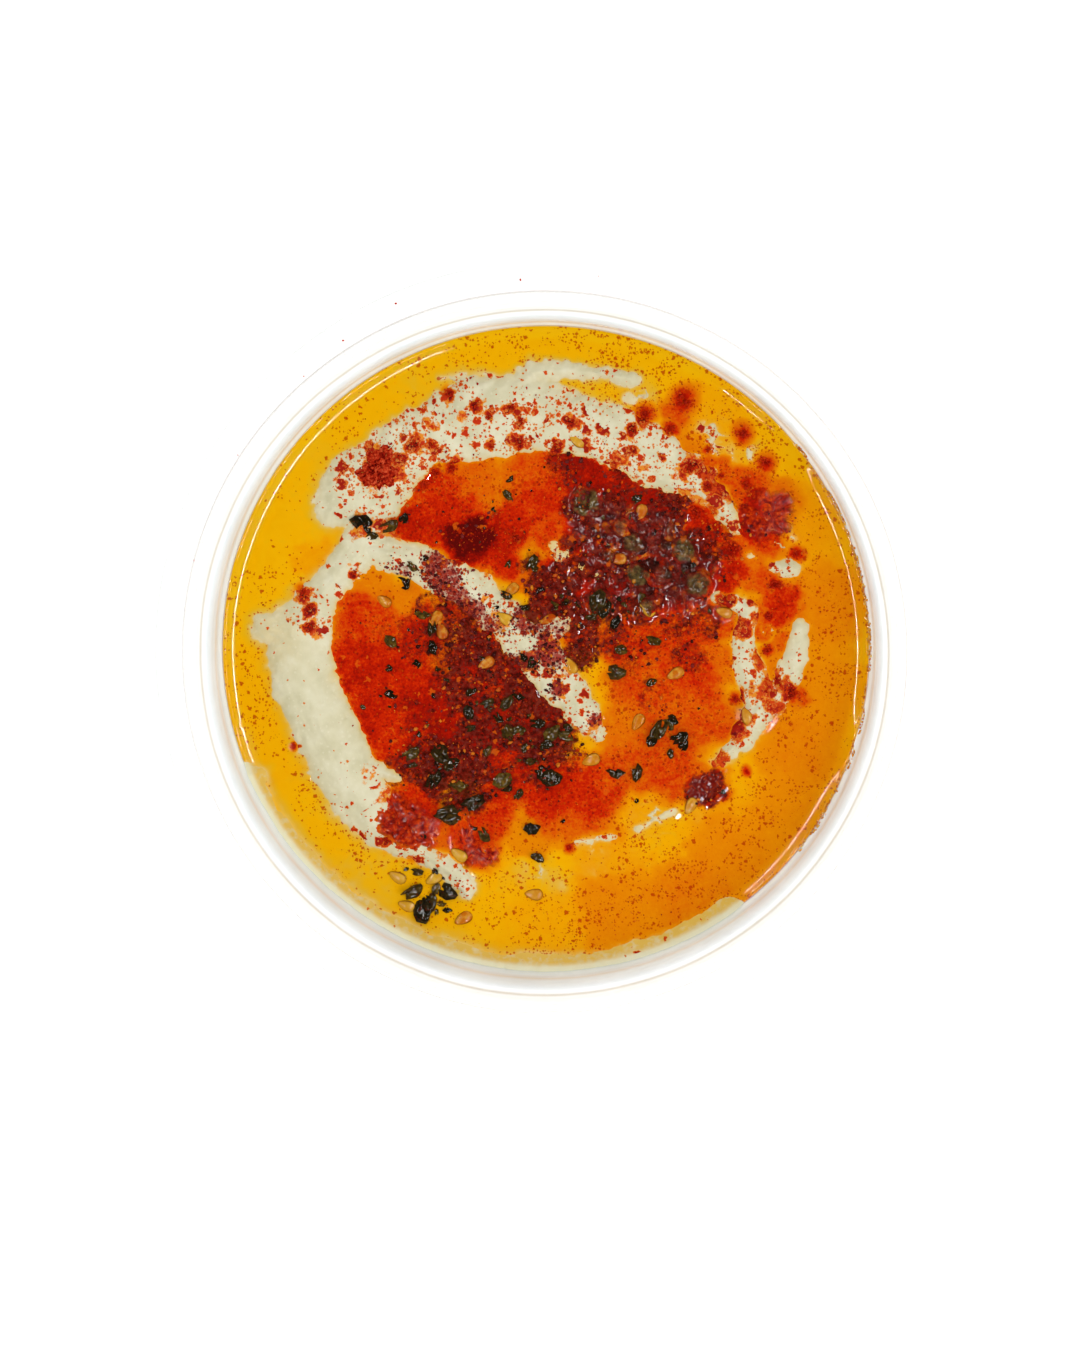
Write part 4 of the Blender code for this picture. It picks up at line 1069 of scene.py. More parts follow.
FILMS = [  # chilli oil smeared over dry cream: x, y, radius, amount
    (36.2, -6.5, 2.1, 0.58), (37.6, -4, 1.8, 0.52), (31.6, -8, 2, 0.95), (31.4, -12.6, 2.3, 0.8),
    (38, -9.6, 1.7, 0.58), (33.2, -10.8, 1.8, 0.65), (35.6, -1, 1.7, 0.58), (32.2, 3.6, 2, 0.65),
    (34.6, 5.6, 1.4, 0.51), (30.2, 8.8, 1.6, 0.87), (35.4, 8.8, 1.3, 0.58),
    (29.2, -18.2, 1.7, 0.58), (27.8, -19.4, 1.2, 0.5), (23.4, 26.4, 1.4, 0.4), (27, 29.4, 2, 0.65),
    (27.4, 23, 1.6, 0.5), (21.4, 29, 1.2, 0.4), (28.2, 26.6, 1.5, 0.5), (16, 30.4, 1.2, 0.35),
    (12.2, 31.6, 1.4, 0.6), (4.2, 38.6, 1, 0.4), (-19.2, 37.6, 1.3, 0.4), (-14, 38.4, 1, 0.4),
    (-24.6, 29.4, 1.8, 0.6), (-31.2, 12.9, 1, 0.4), (8.6, -11.8, 1.6, 0.42),
    (6.2, -13.8, 1.6, 0.36), (3.6, -3.2, 1.4, 0.36), (-10.6, 11.6, 0.9, 0.3),
    (2.8, -6.4, 1.1, 0.85), (-7.8, 4.8, 1.6, 0.34), (-10, 8.8, 1.3, 0.34), (-13.4, 6.8, 1.8, 0.5),
    (-3.2, -1.6, 1.8, 0.6), (0.2, 1.2, 1.8, 0.6), (-30.2, 20.6, 2.4, 0.42),
    (-25.8, 20.5, 2.2, 0.46), (30, 27, 2, 0.8), (-29.4, -20.4, 1.5, 0.34), (-26.6, -24, 1.8, 0.4),
    (-22.6, -35.6, 1.6, 0.4), (-17.4, -33.4, 1.4, 0.4),
]
SUMAC = [  # purple grit
    (-18, 14, 2.4, 1.0), (-16.4, 11.6, 2.6, 1.0), (-14.6, 9, 2.2, 0.9), (-24, 12.8, 1.8, 0.8),
    (-12, 6.6, 2.2, 0.95), (-9, 4.4, 2, 0.8), (-3.2, 5.4, 2.4, 1.0), (-1, 8, 2.5, 1.0),
    (2, -6.4, 1.3, 0.9), (8.2, -11.5, 1.2, 0.8), (0.8, -0.4, 2.6, 1.0), (4.5, 0.2, 2.4, 0.9),
    (-2.6, -1.6, 1.6, 0.8), (2.6, 3.6, 2, 0.6), (-0.4, 3.4, 1.6, 0.7), (6, 9, 3, 1.0),
    (3, 13, 2.6, 0.8), (-5, -2.5, 2, 0.7), (-10, 11, 1.8, 0.0), (-28, 16, 4, 0.0),
    (-5.6, 2.6, 1, 0.3), (6, -8.5, 1.5, 0.0), (-7.4, 6.6, 1.6, 0.1), (-12.4, 12, 1.4, 0.05),
    (2.5, 16.5, 1.4, 0.3),
]
POWDER_SEA = [  # floating powder in the open oil
    (0, 49, 5, 1.0), (10, 48.5, 5, 1.0), (18, 46, 5, 0.8), (-12, 47, 5, 0.5), (-22, 43, 5, 0.35),
    (-32, 38, 5, 0.3), (-38, 28, 5, 0.2), (-46, 20, 6, 0.05), (-44, 9, 5, 0.55), (-48, 6, 3, 0.8),
    (-48, -2, 3, 0.6), (-46, -9, 3, 0.6), (-43, -13, 4, 0.6), (-46, -24, 5, 0.05),
    (-40, -23, 3, 0.6), (-34, -31, 4, 0.7), (-40, -36, 5, 0.1), (-22, -35.5, 5, 0.6),
    (-26, -42, 4, 0.1), (-14, -44, 5, 0.4), (-4, -42, 5, 0.7), (-2, -46, 4, 0.9), (6, -40, 6, 0.8),
    (16, -42, 7, 0.8), (20, -33, 6, 1.0), (28, -36, 7, 1.0), (36, -28, 7, 0.6), (38, -18, 5, 0.8),
    (44, -12, 5, 0.6), (47, -2, 5, 0.6), (47, 8, 5, 0.6), (45, 20, 5, 0.5), (36, 36, 6, 0.8),
    (28, 40, 5, 0.8), (20, -20, 9, 0.7), (0, -25, 9, 0.5), (20, -8, 9, 0.6), (-10, 29, 8, 0.6),
    (-20, -5, 10, 0.3), (0, -34, 5, 0.5),
]


def reach_into_wall(x, y, height, outermost, bite=BITE):
    """x and y with the outermost ring moved to just inside the wall at its own height."""
    radius = np.hypot(x, y)
    share = np.where(outermost, (wall_radius(height) + bite) / np.maximum(radius, 1), 1)
    return x * share, y * share


def nearest(x, y, pools):
    """Distance to the nearest pool's middle, in its radii times 2."""
    away = np.full(x.shape, 1e3)
    for pool_x, pool_y, radius, _ in pools:
        away = np.minimum(away, 2 * np.hypot(x - pool_x, y - pool_y) / radius)
    return away


plan_x, plan_y, plan_faces = disc(RINGS, MOUTH)
facts = survey(plan_x, plan_y)
edge = np.hypot(plan_x, plan_y) > MOUTH - 0.01
depth = facts["top"] - facts["ground"]
dusting = pooled(plan_x, plan_y, DUST, 0.05, 0.9)
sumac = pooled(plan_x, plan_y, SUMAC, 0.0, 0.9) * soft_step(3.4, 1.2, nearest(plan_x, plan_y, SUMAC))
sea = pooled(plan_x, plan_y, POWDER_SEA, 0.2, 0.9)


def make_hummus():
    ground = facts["ground"]
    x, y = reach_into_wall(plan_x, plan_y, ground, edge)
    points, faces = [np.column_stack([x, y, ground])], [plan_faces]
    around = 6 * RINGS
    angle = np.arange(around) * (math.tau / around)
    ring, start = np.arange(len(x) - around, len(x)), len(x)
    levels = [26, 20, 14, 8, CORNER_HEIGHT + 0.2, 1.4, WALL - BITE]
    radii = [wall_radius(h) + BITE for h in levels[:5]] + [FOOT_RADIUS + 1.2, FOOT_RADIUS - 0.4]
    for level, radius in zip(levels, radii):
        points.append(np.column_stack([radius * np.cos(angle), radius * np.sin(angle),
                                       np.full(around, level)]))
        after = np.arange(start, start + around)
        upper, lower = np.roll(ring, -1), np.roll(after, -1)
        faces += [np.column_stack([ring, after, lower]), np.column_stack([ring, lower, upper])]
        ring, start = after, start + around
    points.append(np.array([[0, 0, WALL - BITE]]))
    faces.append(np.column_stack([ring, np.full(around, start), np.roll(ring, -1)]))
    points, faces = np.concatenate(points), np.concatenate(faces)
    spare = len(points) - len(x)
    above_oil = np.maximum(ground - facts["top"], 0)
    soaked = np.exp(-above_oil / 0.30) * (0.35 + 0.5 * soft_step(0.1, 0.6, facts["chilli"]))
    collar = inside_shore(plan_x, plan_y)
    soaked = np.maximum(soaked, 1.0 * soft_step(3.8, 0.4, collar) * soft_step(-2, -0.5, collar))
    soaked += 0.35 * np.exp(-((plan_x + 46) ** 2 + (plan_y - 2) ** 2) / 30) * 0.6
    warp_x = plan_x + 0.9 * mottle(plan_x, plan_y, 1.6, 91)
    warp_y = plan_y + 0.9 * mottle(plan_x, plan_y, 1.6, 92)
    stain = heaped(warp_x, warp_y, RED_HEAPS, 1.05)
    film = pooled(warp_x, warp_y, FILMS, 0.0, 0.9) * soft_step(3, 1, nearest(warp_x, warp_y, FILMS))
    stain = np.maximum(stain, film)
    mound = CLUMPS["paprika_mound"]
    near = clump_reach(plan_x, plan_y, *mound[:5])
    stain = np.maximum(stain, 1.1 - 0.85 * near)
    # climb: the share of painted light that brightens the cream next to the wall
    climb = soft_step(MOUTH - 1.0, MOUTH + 0.2, np.hypot(plan_x, plan_y))
    off_wall = soft_step(MOUTH - 0.2, MOUTH - 1.0, np.hypot(plan_x, plan_y))
    amounts = {"soaked": soaked, "stain": np.clip(stain, 0, 1) * off_wall, "dust": dusting * off_wall,
               "sumac": sumac * off_wall, "climb": climb}
    amounts = {key: np.concatenate([np.clip(value, 0, 2), np.zeros(spare)])
               for key, value in amounts.items()}
    body = piece("hummus_body", points, faces, HUMMUS, amounts)
    body.data.set_sharp_from_angle(angle=math.radians(50))  # the edge where the top meets the wall
    return body


def make_oil():
    top, ground = facts["top"], facts["ground"]
    wet = (depth > -0.35)
    faces = plan_faces[wet[plan_faces].any(axis=1)]
    used = np.unique(faces)
    renumbered = np.zeros(len(top), int)
    renumbered[used] = np.arange(len(used))
    faces = renumbered[faces]
    top, low, x, y, rim = top[used], ground[used], plan_x[used], plan_y[used], edge[used]
    low = np.minimum(low, top) - BURIED
    top_x, top_y = reach_into_wall(x, y, top, rim)
    low_x, low_y = reach_into_wall(x, y, low, rim, BITE - 0.05)
    points = np.concatenate([np.column_stack([top_x, top_y, top]), np.column_stack([low_x, low_y, low])])
    count = len(used)
    olive = np.zeros(count)
    for dome_x, dome_y, radius, _, green in DOMES:
        away = np.hypot(x - dome_x, y - dome_y) / radius
        olive = np.maximum(olive, green * soft_step(0.95, 0.5, away + 0.2 * mottle(x, y, 0.9, 66)))
    chilli = np.maximum(facts["chilli"], 0.75 * facts["heap"])[used]
    shown = {"depth": np.maximum(depth[used], 0), "chilli": chilli, "dark": facts["dark"][used],
             "olive": olive, "powder": sea[used],
             "climb": soft_step(MOUTH - 2.4, MOUTH - 1.2, np.hypot(x, y))}
    amounts = {key: np.concatenate([value, value]) for key, value in shown.items()}
    return piece("seasoned_oil", points, closed_body(faces, count), OIL, amounts)


hummus = make_hummus()
oil = make_oil()
oil.visible_diffuse = False  # clear liquid, so it lends the wall no colour

# %% [markdown]
# ## Clumps of paste, powder and spice
#
# A spooned clump is a low dome with a ragged outline, and its surface is packed with bits. Each is drawn
# on a small honeycomb of its own, much finer than the swirl, and sinks at its edge below what it lies on.


# %% Clumps
def make_clump(name, finish, grain, lump, rings):
    clump_x, clump_y, long, short, turn, height = CLUMPS[name]
    seed = len(name) * 7
    u, v, faces = disc(rings, 1.0)
    share = np.hypot(u, v)
    angle = np.arctan2(v, u)
    outline = 0.96 + 0.4 * mottle(2.2 * np.cos(angle) + 9, 2.2 * np.sin(angle) + 9, 1, seed, 4)
    turn = math.radians(turn)
    across, along = u * long * outline, v * short * outline
    x = clump_x + across * math.cos(turn) - along * math.sin(turn)
    y = clump_y + across * math.sin(turn) + along * math.cos(turn)
    around = survey(x, y)
    bed = np.maximum(around["ground"], around["top"])
    warp_x = x + 0.5 * grain * mottle(x, y, grain, seed + 1, 1)
    warp_y = y + 0.5 * grain * mottle(x, y, grain, seed + 2, 1)
    coarse, tone = pebbles(warp_x, warp_y, grain, seed, finish == SPICE)
    fine, _ = pebbles(warp_x, warp_y, grain * 0.45, seed + 3)
    crown = np.sqrt(np.clip(1 - share**2, 0, 1)) * (0.65 + 0.35 * mottle(x, y, 3, seed + 4))
    if finish == POWDER:
        relief = lump * (coarse + 0.4 * fine)
    else:
        relief = lump * coarse * (0.25 + soft_step(-0.1, 0.5, mottle(x, y, 3.2, seed + 9, 2)))
    z = bed - 0.35 + 0.5 * height * crown * (0.75 + 0.25 * coarse) + relief * soft_step(1.0, 0.8, share)
    olive = np.zeros_like(x)
    if name == "spice_heap":
        z = bed - 0.25 + 0.55 * crown + relief * soft_step(1.0, 0.7, share)
        for dome_x, dome_y, radius, rise_up, green in DOMES:
            away = np.hypot(x - dome_x, y - dome_y) * (1 + 0.16 * mottle(x, y, 2.2, 65)) / radius
            wrinkles = 0.08 * np.abs(mottle(x * 1.0, y * 1.0, 0.9, 68))
            dome = bed + 0.45 + 0.5 * rise_up * np.clip(1 - away**2, 0, 1) ** 0.7 - wrinkles
            z = np.where(away < 1, np.maximum(z * 0.3 + dome * 0.7, dome), z)
            olive = np.maximum(olive, green * soft_step(0.95, 0.5, away + 0.25 * mottle(x, y, 0.9, 66)))
    z = np.where(share > 0.97, bed - 0.6, z)
    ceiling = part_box(name)[1].z / MM + 1.2
    z = np.minimum(z, ceiling)
    count = len(x)
    low = np.column_stack([x, y, bed - 1.2])
    points = np.concatenate([np.column_stack([x, y, z]), low])
    amounts = {"edge": share, "tone": tone, "olive": olive, "depth": around["top"] - around["ground"] + 0.6,
               "chilli": around["chilli"], "dark": around["dark"], "powder": np.zeros_like(x),
               "climb": np.zeros_like(x)}
    amounts = {key: np.concatenate([value, value]) for key, value in amounts.items()}
    return piece(f"{name}_lumps", points, closed_body(faces, count), finish, amounts)


clumps = {
    "chilli_paste_left": make_clump("chilli_paste_left", PASTE, 1.3, 0.34, 64),
    "chilli_paste_front": make_clump("chilli_paste_front", PASTE, 1.2, 0.24, 60),
    "chilli_paste_right": make_clump("chilli_paste_right", PASTE, 1.5, 0.34, 60),
    "chilli_paste_edge": make_clump("chilli_paste_edge", PASTE, 1.1, 0.26, 48),
    "paprika_mound": make_clump("paprika_mound", POWDER, 0.55, 0.3, 56),
    "spice_heap": make_clump("spice_heap", SPICE, 1.6, 0.32, 120),
}

# %% [markdown]
# ## Scattering with Geometry Nodes
#
# Two small trees place everything that repeats. `Sprinkle` throws shapes over a bed, as thick as a
# painted amount says, and `Lay` puts one shape on each point of a list, turned and sized as the point
# says. Both end in Realize Instances and Set Material, so that what leaves them is a plain mesh.

# %% Two node trees
SOCKETS = {"Bed": "Geometry", "Shapes": "Collection", "Finish": "Material", "Seed": "Int"}


def new_tree(name, *labels):
    """An empty tree with these inputs, its input node, and a way to close it."""
    tree = bpy.data.node_groups.new(name, "GeometryNodeTree")
    for label in labels:
        tree.interface.new_socket(label, in_out="INPUT",
                                  socket_type="NodeSocket" + SOCKETS.get(label, "Float"))
    tree.interface.new_socket("Result", in_out="OUTPUT", socket_type="NodeSocketGeometry")
    return tree, tree.nodes.new("NodeGroupInput").outputs


def place_shapes(tree, given, points, turn, size, pick):
    """Shapes on points, made real, with their finish."""
    shapes = add_node(tree, "GeometryNodeCollectionInfo",
                      {"Collection": given["Shapes"], "Separate Children": True,
                                                           "Reset Children": True}).outputs[0]
    placed = add_node(tree, "GeometryNodeInstanceOnPoints", {
        "Points": points, "Instance": shapes, "Pick Instance": True, "Instance Index": pick,
        "Rotation": turn,
        "Scale": size}).outputs[0]
    real = add_node(tree, "GeometryNodeRealizeInstances", {"Geometry": placed}).outputs[0]
    done = add_node(tree, "GeometryNodeSetMaterial",
                    {"Geometry": real, "Material": given["Finish"]}).outputs[0]
    add_node(tree, "NodeGroupOutput", {0: done})
    return tree


def stored(tree, name, kind="FLOAT"):
    return add_node(tree, "GeometryNodeInputNamedAttribute", {"Name": name},
                    data_type=kind).outputs["Attribute"]


def drawn(tree, low, high, seed, kind="FLOAT"):
    """A random value for each point."""
    made = tree.nodes.new("FunctionNodeRandomValue")
    made.data_type = kind
    live = [socket for socket in made.inputs if socket.enabled]
    live[0].default_value, live[1].default_value = low, high
    tree.links.new(seed, made.inputs["Seed"])
    return next(socket for socket in made.outputs if socket.enabled)


def sprinkle_tree():
    tree, given = new_tree("Sprinkle", "Bed", "Most", "Smallest", "Largest", "Lift", "Tilt", "Seed",
                           "Shapes", "Finish")
    maths = lambda operation, a, b: add_node(tree, "ShaderNodeMath", {0: a, 1: b},
                                             operation=operation).outputs[0]
    thick = maths("MULTIPLY", stored(tree, "thick"), given["Most"])
    points = add_node(tree, "GeometryNodeDistributePointsOnFaces",
                      {"Mesh": given["Bed"], "Density": thick, "Seed": given["Seed"]}).outputs["Points"]
    up = add_node(tree, "ShaderNodeCombineXYZ", {"Z": given["Lift"]}).outputs[0]
    points = add_node(tree, "GeometryNodeSetPosition", {"Geometry": points, "Offset": up}).outputs[0]
    points = add_node(tree, "GeometryNodeStoreNamedAttribute",
                      {"Geometry": points, "Name": "tone", "Value": drawn(tree, 0.0, 1.0, given["Seed"])},
                      data_type="FLOAT", domain="POINT").outputs[0]
    skew = maths("ADD", given["Seed"], 7)
    share = maths("POWER", drawn(tree, 0.0, 1.0, skew), 2.6)
    size = add_node(tree, "ShaderNodeMapRange", {"Value": share, "To Min": given["Smallest"],
                                                 "To Max": given["Largest"]}).outputs[0]
    spin = drawn(tree, (-1.0, -1.0, 0.0), (1.0, 1.0, math.tau), maths("ADD", given["Seed"], 13),
                 "FLOAT_VECTOR")
    tilt = add_node(tree, "ShaderNodeCombineXYZ",
                    {"X": given["Tilt"], "Y": given["Tilt"], "Z": 1.0}).outputs[0]
    spin = add_node(tree, "ShaderNodeVectorMath", {0: spin, 1: tilt}, operation="MULTIPLY").outputs[0]
    turn = add_node(tree, "FunctionNodeEulerToRotation", {0: spin}).outputs[0]
    pick = drawn(tree, 0, 40, maths("ADD", given["Seed"], 29), "INT")
    return place_shapes(tree, given, points, turn, size, pick)


def lay_tree():
    tree, given = new_tree("Lay", "Bed", "Shapes", "Finish")
    turn = add_node(tree, "FunctionNodeEulerToRotation",
                    {0: stored(tree, "turn", "FLOAT_VECTOR")}).outputs[0]
    return place_shapes(tree, given, given["Bed"], turn, stored(tree, "size"), stored(tree, "kind", "INT"))


SPRINKLE, LAY = sprinkle_tree(), lay_tree()


def grown(bed, tree, **inputs):
    """Runs a tree on a bed, and leaves the plain result in the bed's place."""
    growth = bed.modifiers.new("growth", "NODES")
    growth.node_group = tree
    for socket in tree.interface.items_tree:
        if socket.in_out == "INPUT" and socket.name in inputs:
            growth[socket.identifier] = inputs[socket.name]
    graph = bpy.context.evaluated_depsgraph_get()
    result = bpy.data.meshes.new_from_object(bed.evaluated_get(graph))
    bed.modifiers.clear()
    bed.data = result
    result.name = bed.name
    print(bed.name, "holds", len(result.polygons), "faces")
    return bed


# %% [markdown]
# ### Shapes to scatter
#
# A shape that is thrown in thousands has only a few faces. A speck is a dented octahedron, a crumb a
# dented icosahedron, a flake a crinkled leaf with a torn outline, and a seed a flat drop. Each is about
# one millimetre long, so that its size is simply its scale.


# %% Shapes
def shape_box(name, shapes):
    """A collection of prototype shapes, kept out of the scene."""
    box = bpy.data.collections.new(name)
    for index, (points, faces, amounts) in enumerate(shapes):
        made = piece(f"{name}_{index}", points, faces, None, amounts, smooth=name in ("crumbs", "seed"))
        bpy.context.scene.collection.objects.unlink(made)
        box.objects.link(made)
    return box


def speck_shape(chance):
    points = np.array([(1, 0, 0), (0, 1, 0), (-1, 0, 0), (0, -1, 0), (0, 0, 0.7), (0, 0, -0.7)]) * 0.5
    points = points * chance.uniform(0.6, 1.1, (6, 1))
    faces = [(0, 1, 4), (1, 2, 4), (2, 3, 4), (3, 0, 4), (1, 0, 5), (2, 1, 5), (3, 2, 5), (0, 3, 5)]
    return points, np.array(faces), {}


def crumb_shape(chance):
    golden = (1 + 5**0.5) / 2
    points = [
        (-1, golden, 0), (1, golden, 0), (-1, -golden, 0), (1, -golden, 0),
        (0, -1, golden), (0, 1, golden), (0, -1, -golden), (0, 1, -golden),
        (golden, 0, -1), (golden, 0, 1), (-golden, 0, -1), (-golden, 0, 1),
    ]
    faces = [(0, 11, 5), (0, 5, 1), (0, 1, 7), (0, 7, 10), (0, 10, 11), (1, 5, 9), (5, 11, 4), (11, 10, 2),
             (10, 7, 6), (7, 1, 8), (3, 9, 4), (3, 4, 2), (3, 2, 6), (3, 6, 8), (3, 8, 9), (4, 9, 5),
             (2, 4, 11),
             (6, 2, 10), (8, 6, 7), (9, 8, 1)]
    points = np.array(points) / math.hypot(1, golden) * 0.5 * chance.uniform(0.6, 1.15, (12, 1))
    return points * (1, 0.85, 0.7), np.array(faces), {}


def flake_shape(chance, corners=11):
    """A torn, crinkled scrap of leaf: a ragged outline round two inner rings, and a thickness."""
    angle = np.arange(corners) * (math.tau / corners) + chance.uniform(-0.2, 0.2, corners)
    reach = chance.uniform(0.76, 1.08, corners)
    reach[chance.integers(0, corners, 2)] *= 0.72
    outline = np.column_stack([0.5 * np.cos(angle),
                               chance.uniform(0.26, 0.4) * np.sin(angle)]) * reach[:, None]
    fold = chance.uniform(-0.5, 0.5)
    flat = np.concatenate([[(0, 0)], 0.5 * outline, outline])
    crinkle = chance.uniform(-0.1, 0.1, len(flat)) + fold * np.abs(flat[:, 1])
    points = np.concatenate([np.column_stack([flat, crinkle + side]) for side in (0.05, -0.05)])
    half, faces = len(flat), []
    for step in range(corners):
        after = (step + 1) % corners
        a, b, c, d = 1 + step, 1 + after, 1 + corners + step, 1 + corners + after
        faces += [(0, a, b), (a, c, d), (a, d, b)]
    return points, closed_body(np.array(faces), half), {}


def sesame_shape():
    """A flat drop, pointed at one end."""
    around, rings = 14, 8
    points, faces, away = [(-0.5, 0, 0)], [], [1.0]
    for ring in range(1, rings):
        u = -math.cos(math.pi * ring / rings)
        width = math.sqrt(1 - u * u) * (1 + 0.38 * u) * 0.31
        for step in range(around):
            angle = math.tau * step / around
            points.append((0.5 * u, width * math.cos(angle), 0.42 * width * math.sin(angle)))
            away.append(max(abs(math.cos(angle)) ** 3, abs(u) ** 6))
    points.append((0.5, 0, 0))
    away.append(1.0)
    last = len(points) - 1
    for step in range(around):
        after = (step + 1) % around
        faces.append((0, 1 + after, 1 + step))
        for ring in range(rings - 2):
            a, b = 1 + ring * around, 1 + (ring + 1) * around
            faces += [(a + step, a + after, b + after), (a + step, b + after, b + step)]
        faces.append((last, last - around + step, last - around + after))
    return np.array(points), np.array(faces), {"edge": away}


CHANCE = np.random.default_rng(2024)
SPECKS = shape_box("specks", [speck_shape(CHANCE) for _ in range(6)])
CRUMBS = shape_box("crumbs", [crumb_shape(CHANCE) for _ in range(6)])
LEAVES = shape_box("leaves", [flake_shape(CHANCE) for _ in range(8)])
BITS = shape_box("bits", [flake_shape(CHANCE, 6) for _ in range(6)])
SEED_SHAPE = shape_box("seed", [sesame_shape()])

# %% [markdown]
# ### Specks in the oil and crumbs on the ridges
#
# Powder that floats in the open oil is thrown over its skin. On the ridges grains lie dry, thickest where
# the paprika landed. The amount on each bed's points decides how many fall there.


# %% Sprinkled pieces
def bed(name, keep, thick, lift=0.0):
    """The top surface where keep says, with the amount that decides how much falls on it."""
    faces = plan_faces[keep[plan_faces].all(axis=1)]
    top = np.maximum(facts["top"], facts["ground"]) + lift
    return piece(name, np.column_stack([plan_x, plan_y, top]), faces, None, {"thick": np.clip(thick, 0, 1)})


clear_of_wall = np.hypot(plan_x, plan_y) < MOUTH - 1.2
on_oil = (depth > 0.05) & clear_of_wall
on_land = (depth < -0.02) & clear_of_wall
clumped = soft_step(-0.1, 0.6, mottle(plan_x, plan_y, 1.6, 81, 3))
clumped = clumped * soft_step(-0.5, 0.5, mottle(plan_x, plan_y, 5, 82))
specks = grown(bed("chilli_specks", on_oil, sea**1.4 * (0.06 + 0.94 * clumped)), SPRINKLE,
               Most=8.0e6, Smallest=0.13, Largest=0.5, Lift=-0.02 * MM, Tilt=3.0,
               Seed=3, Shapes=SPECKS, Finish=SPECK)
crumbs = grown(bed("paprika_crumbs", on_land, dusting * (0.15 + 0.85 * clumped)), SPRINKLE,
               Most=1.5e6, Smallest=0.16, Largest=0.8, Lift=0.0, Tilt=3.0,
               Seed=5, Shapes=CRUMBS, Finish=SPECK)
lumpy = soft_step(-0.3, 0.4, mottle(plan_x, plan_y, 2.2, 84, 3))
strewn = np.where(depth > 0, facts["dark"] ** 1.6 * (0.1 + 0.9 * lumpy), 1.2 * sumac * (0.3 + 0.7 * lumpy))
spice_crumbs = grown(bed("spice_crumbs", clear_of_wall, strewn, -0.05), SPRINKLE,
                     Most=5.0e6, Smallest=0.25, Largest=1.3, Lift=0.0, Tilt=3.0,
                     Seed=17, Shapes=CRUMBS, Finish=CRUMB)
herby = facts["dark"] ** 1.5 * 0.9 + 0.05 * soft_step(0.3, 0.7, facts["chilli"])
bits = grown(bed("herb_crumbs", (depth > 0.05) & clear_of_wall,
                 herby * soft_step(0, 0.6, mottle(plan_x, plan_y, 3, 83))),
             SPRINKLE, Most=0.6e6, Smallest=0.5, Largest=2.0, Lift=0.02 * MM, Tilt=0.5, Seed=9,
             Shapes=BITS, Finish=LEAF)

# %% [markdown]
# ### Placed pieces
#
# Flakes, seeds and the small red heaps stand on points made from the lists above. A heap is a handful of
# crumbs dropped round one spot, more of them in a larger heap.


# %% Placed pieces
def laid(name, places, turns, sizes, kinds, tones, shapes, finish):
    points = piece(name, places, [])
    store = points.data.attributes
    listed = np.asarray(turns, np.float32).ravel()
    store.new("turn", "FLOAT_VECTOR", "POINT").data.foreach_set("vector", listed)
    store.new("size", "FLOAT", "POINT").data.foreach_set("value", np.asarray(sizes, np.float32))
    store.new("tone", "FLOAT", "POINT").data.foreach_set("value", np.asarray(tones, np.float32))
    store.new("kind", "INT", "POINT").data.foreach_set("value", np.asarray(kinds, np.int32))
    return grown(points, LAY, Shapes=shapes, Finish=finish)


def lay_flakes():
    x, y, length, turn = np.array(FLAKES, float).T
    z = top_at(x, y) + 0.06 * length
    count = len(x)
    turns = np.column_stack([CHANCE.uniform(-0.35, 0.35, count), CHANCE.uniform(-0.35, 0.35, count),
                             np.radians(turn)])
    return laid("herb_flakes", np.column_stack([x, y, z]), turns, length * 1.3, np.arange(count) % 8,
                CHANCE.uniform(0, 1, count), LEAVES, LEAF)


def lay_seeds():
    x, y, turn, soaked = np.array(SEEDS, float).T
    z = top_at(x, y) - 0.05
    count = len(x)
    turns = np.column_stack([CHANCE.uniform(-0.2, 0.2, count), CHANCE.uniform(-0.15, 0.15, count),
                             np.radians(turn)])
    return laid("sesame_seeds", np.column_stack([x, y, z]), turns, CHANCE.uniform(2.8, 3.3, count),
                np.zeros(count),
                soaked, SEED_SHAPE, SESAME)


def lay_heaps():
    places, sizes, tones = [], [], []
    for heap_x, heap_y, radius in RED_HEAPS:
        count = int(12 * radius**2) + 5
        stretch, turn = CHANCE.uniform(0.6, 1.5), CHANCE.uniform(0, math.pi)
        away = radius * 0.42 * CHANCE.normal(size=(count, 2)) * (stretch, 1 / stretch)
        away = away @ np.array([[math.cos(turn), math.sin(turn)], [-math.sin(turn), math.cos(turn)]])
        share = np.hypot(*away.T) / radius
        places.append(np.column_stack([heap_x + away[:, 0], heap_y + away[:, 1],
                                       0.35 * np.clip(1 - share, 0, 1)]))
        sizes.append(CHANCE.uniform(0.25, 0.75, count) * (0.75 + 0.15 * radius))
        tones.append(np.clip(0.9 * share + CHANCE.uniform(-0.2, 0.25, count), 0, 0.9))
    places, sizes, tones = np.concatenate(places), np.concatenate(sizes), np.concatenate(tones)
    around = survey(places[:, 0], places[:, 1])
    dry = around["top"] - around["ground"] < 1.4
    places, sizes, tones = places[dry], sizes[dry], tones[dry]
    places[:, 2] += np.maximum(around["top"], around["ground"])[dry] - 0.05
    count = len(places)
    return laid("red_heaps", places, CHANCE.uniform(0, 6.28, (count, 3)), sizes, np.arange(count) % 6,
                tones, CRUMBS,
                SPECK)


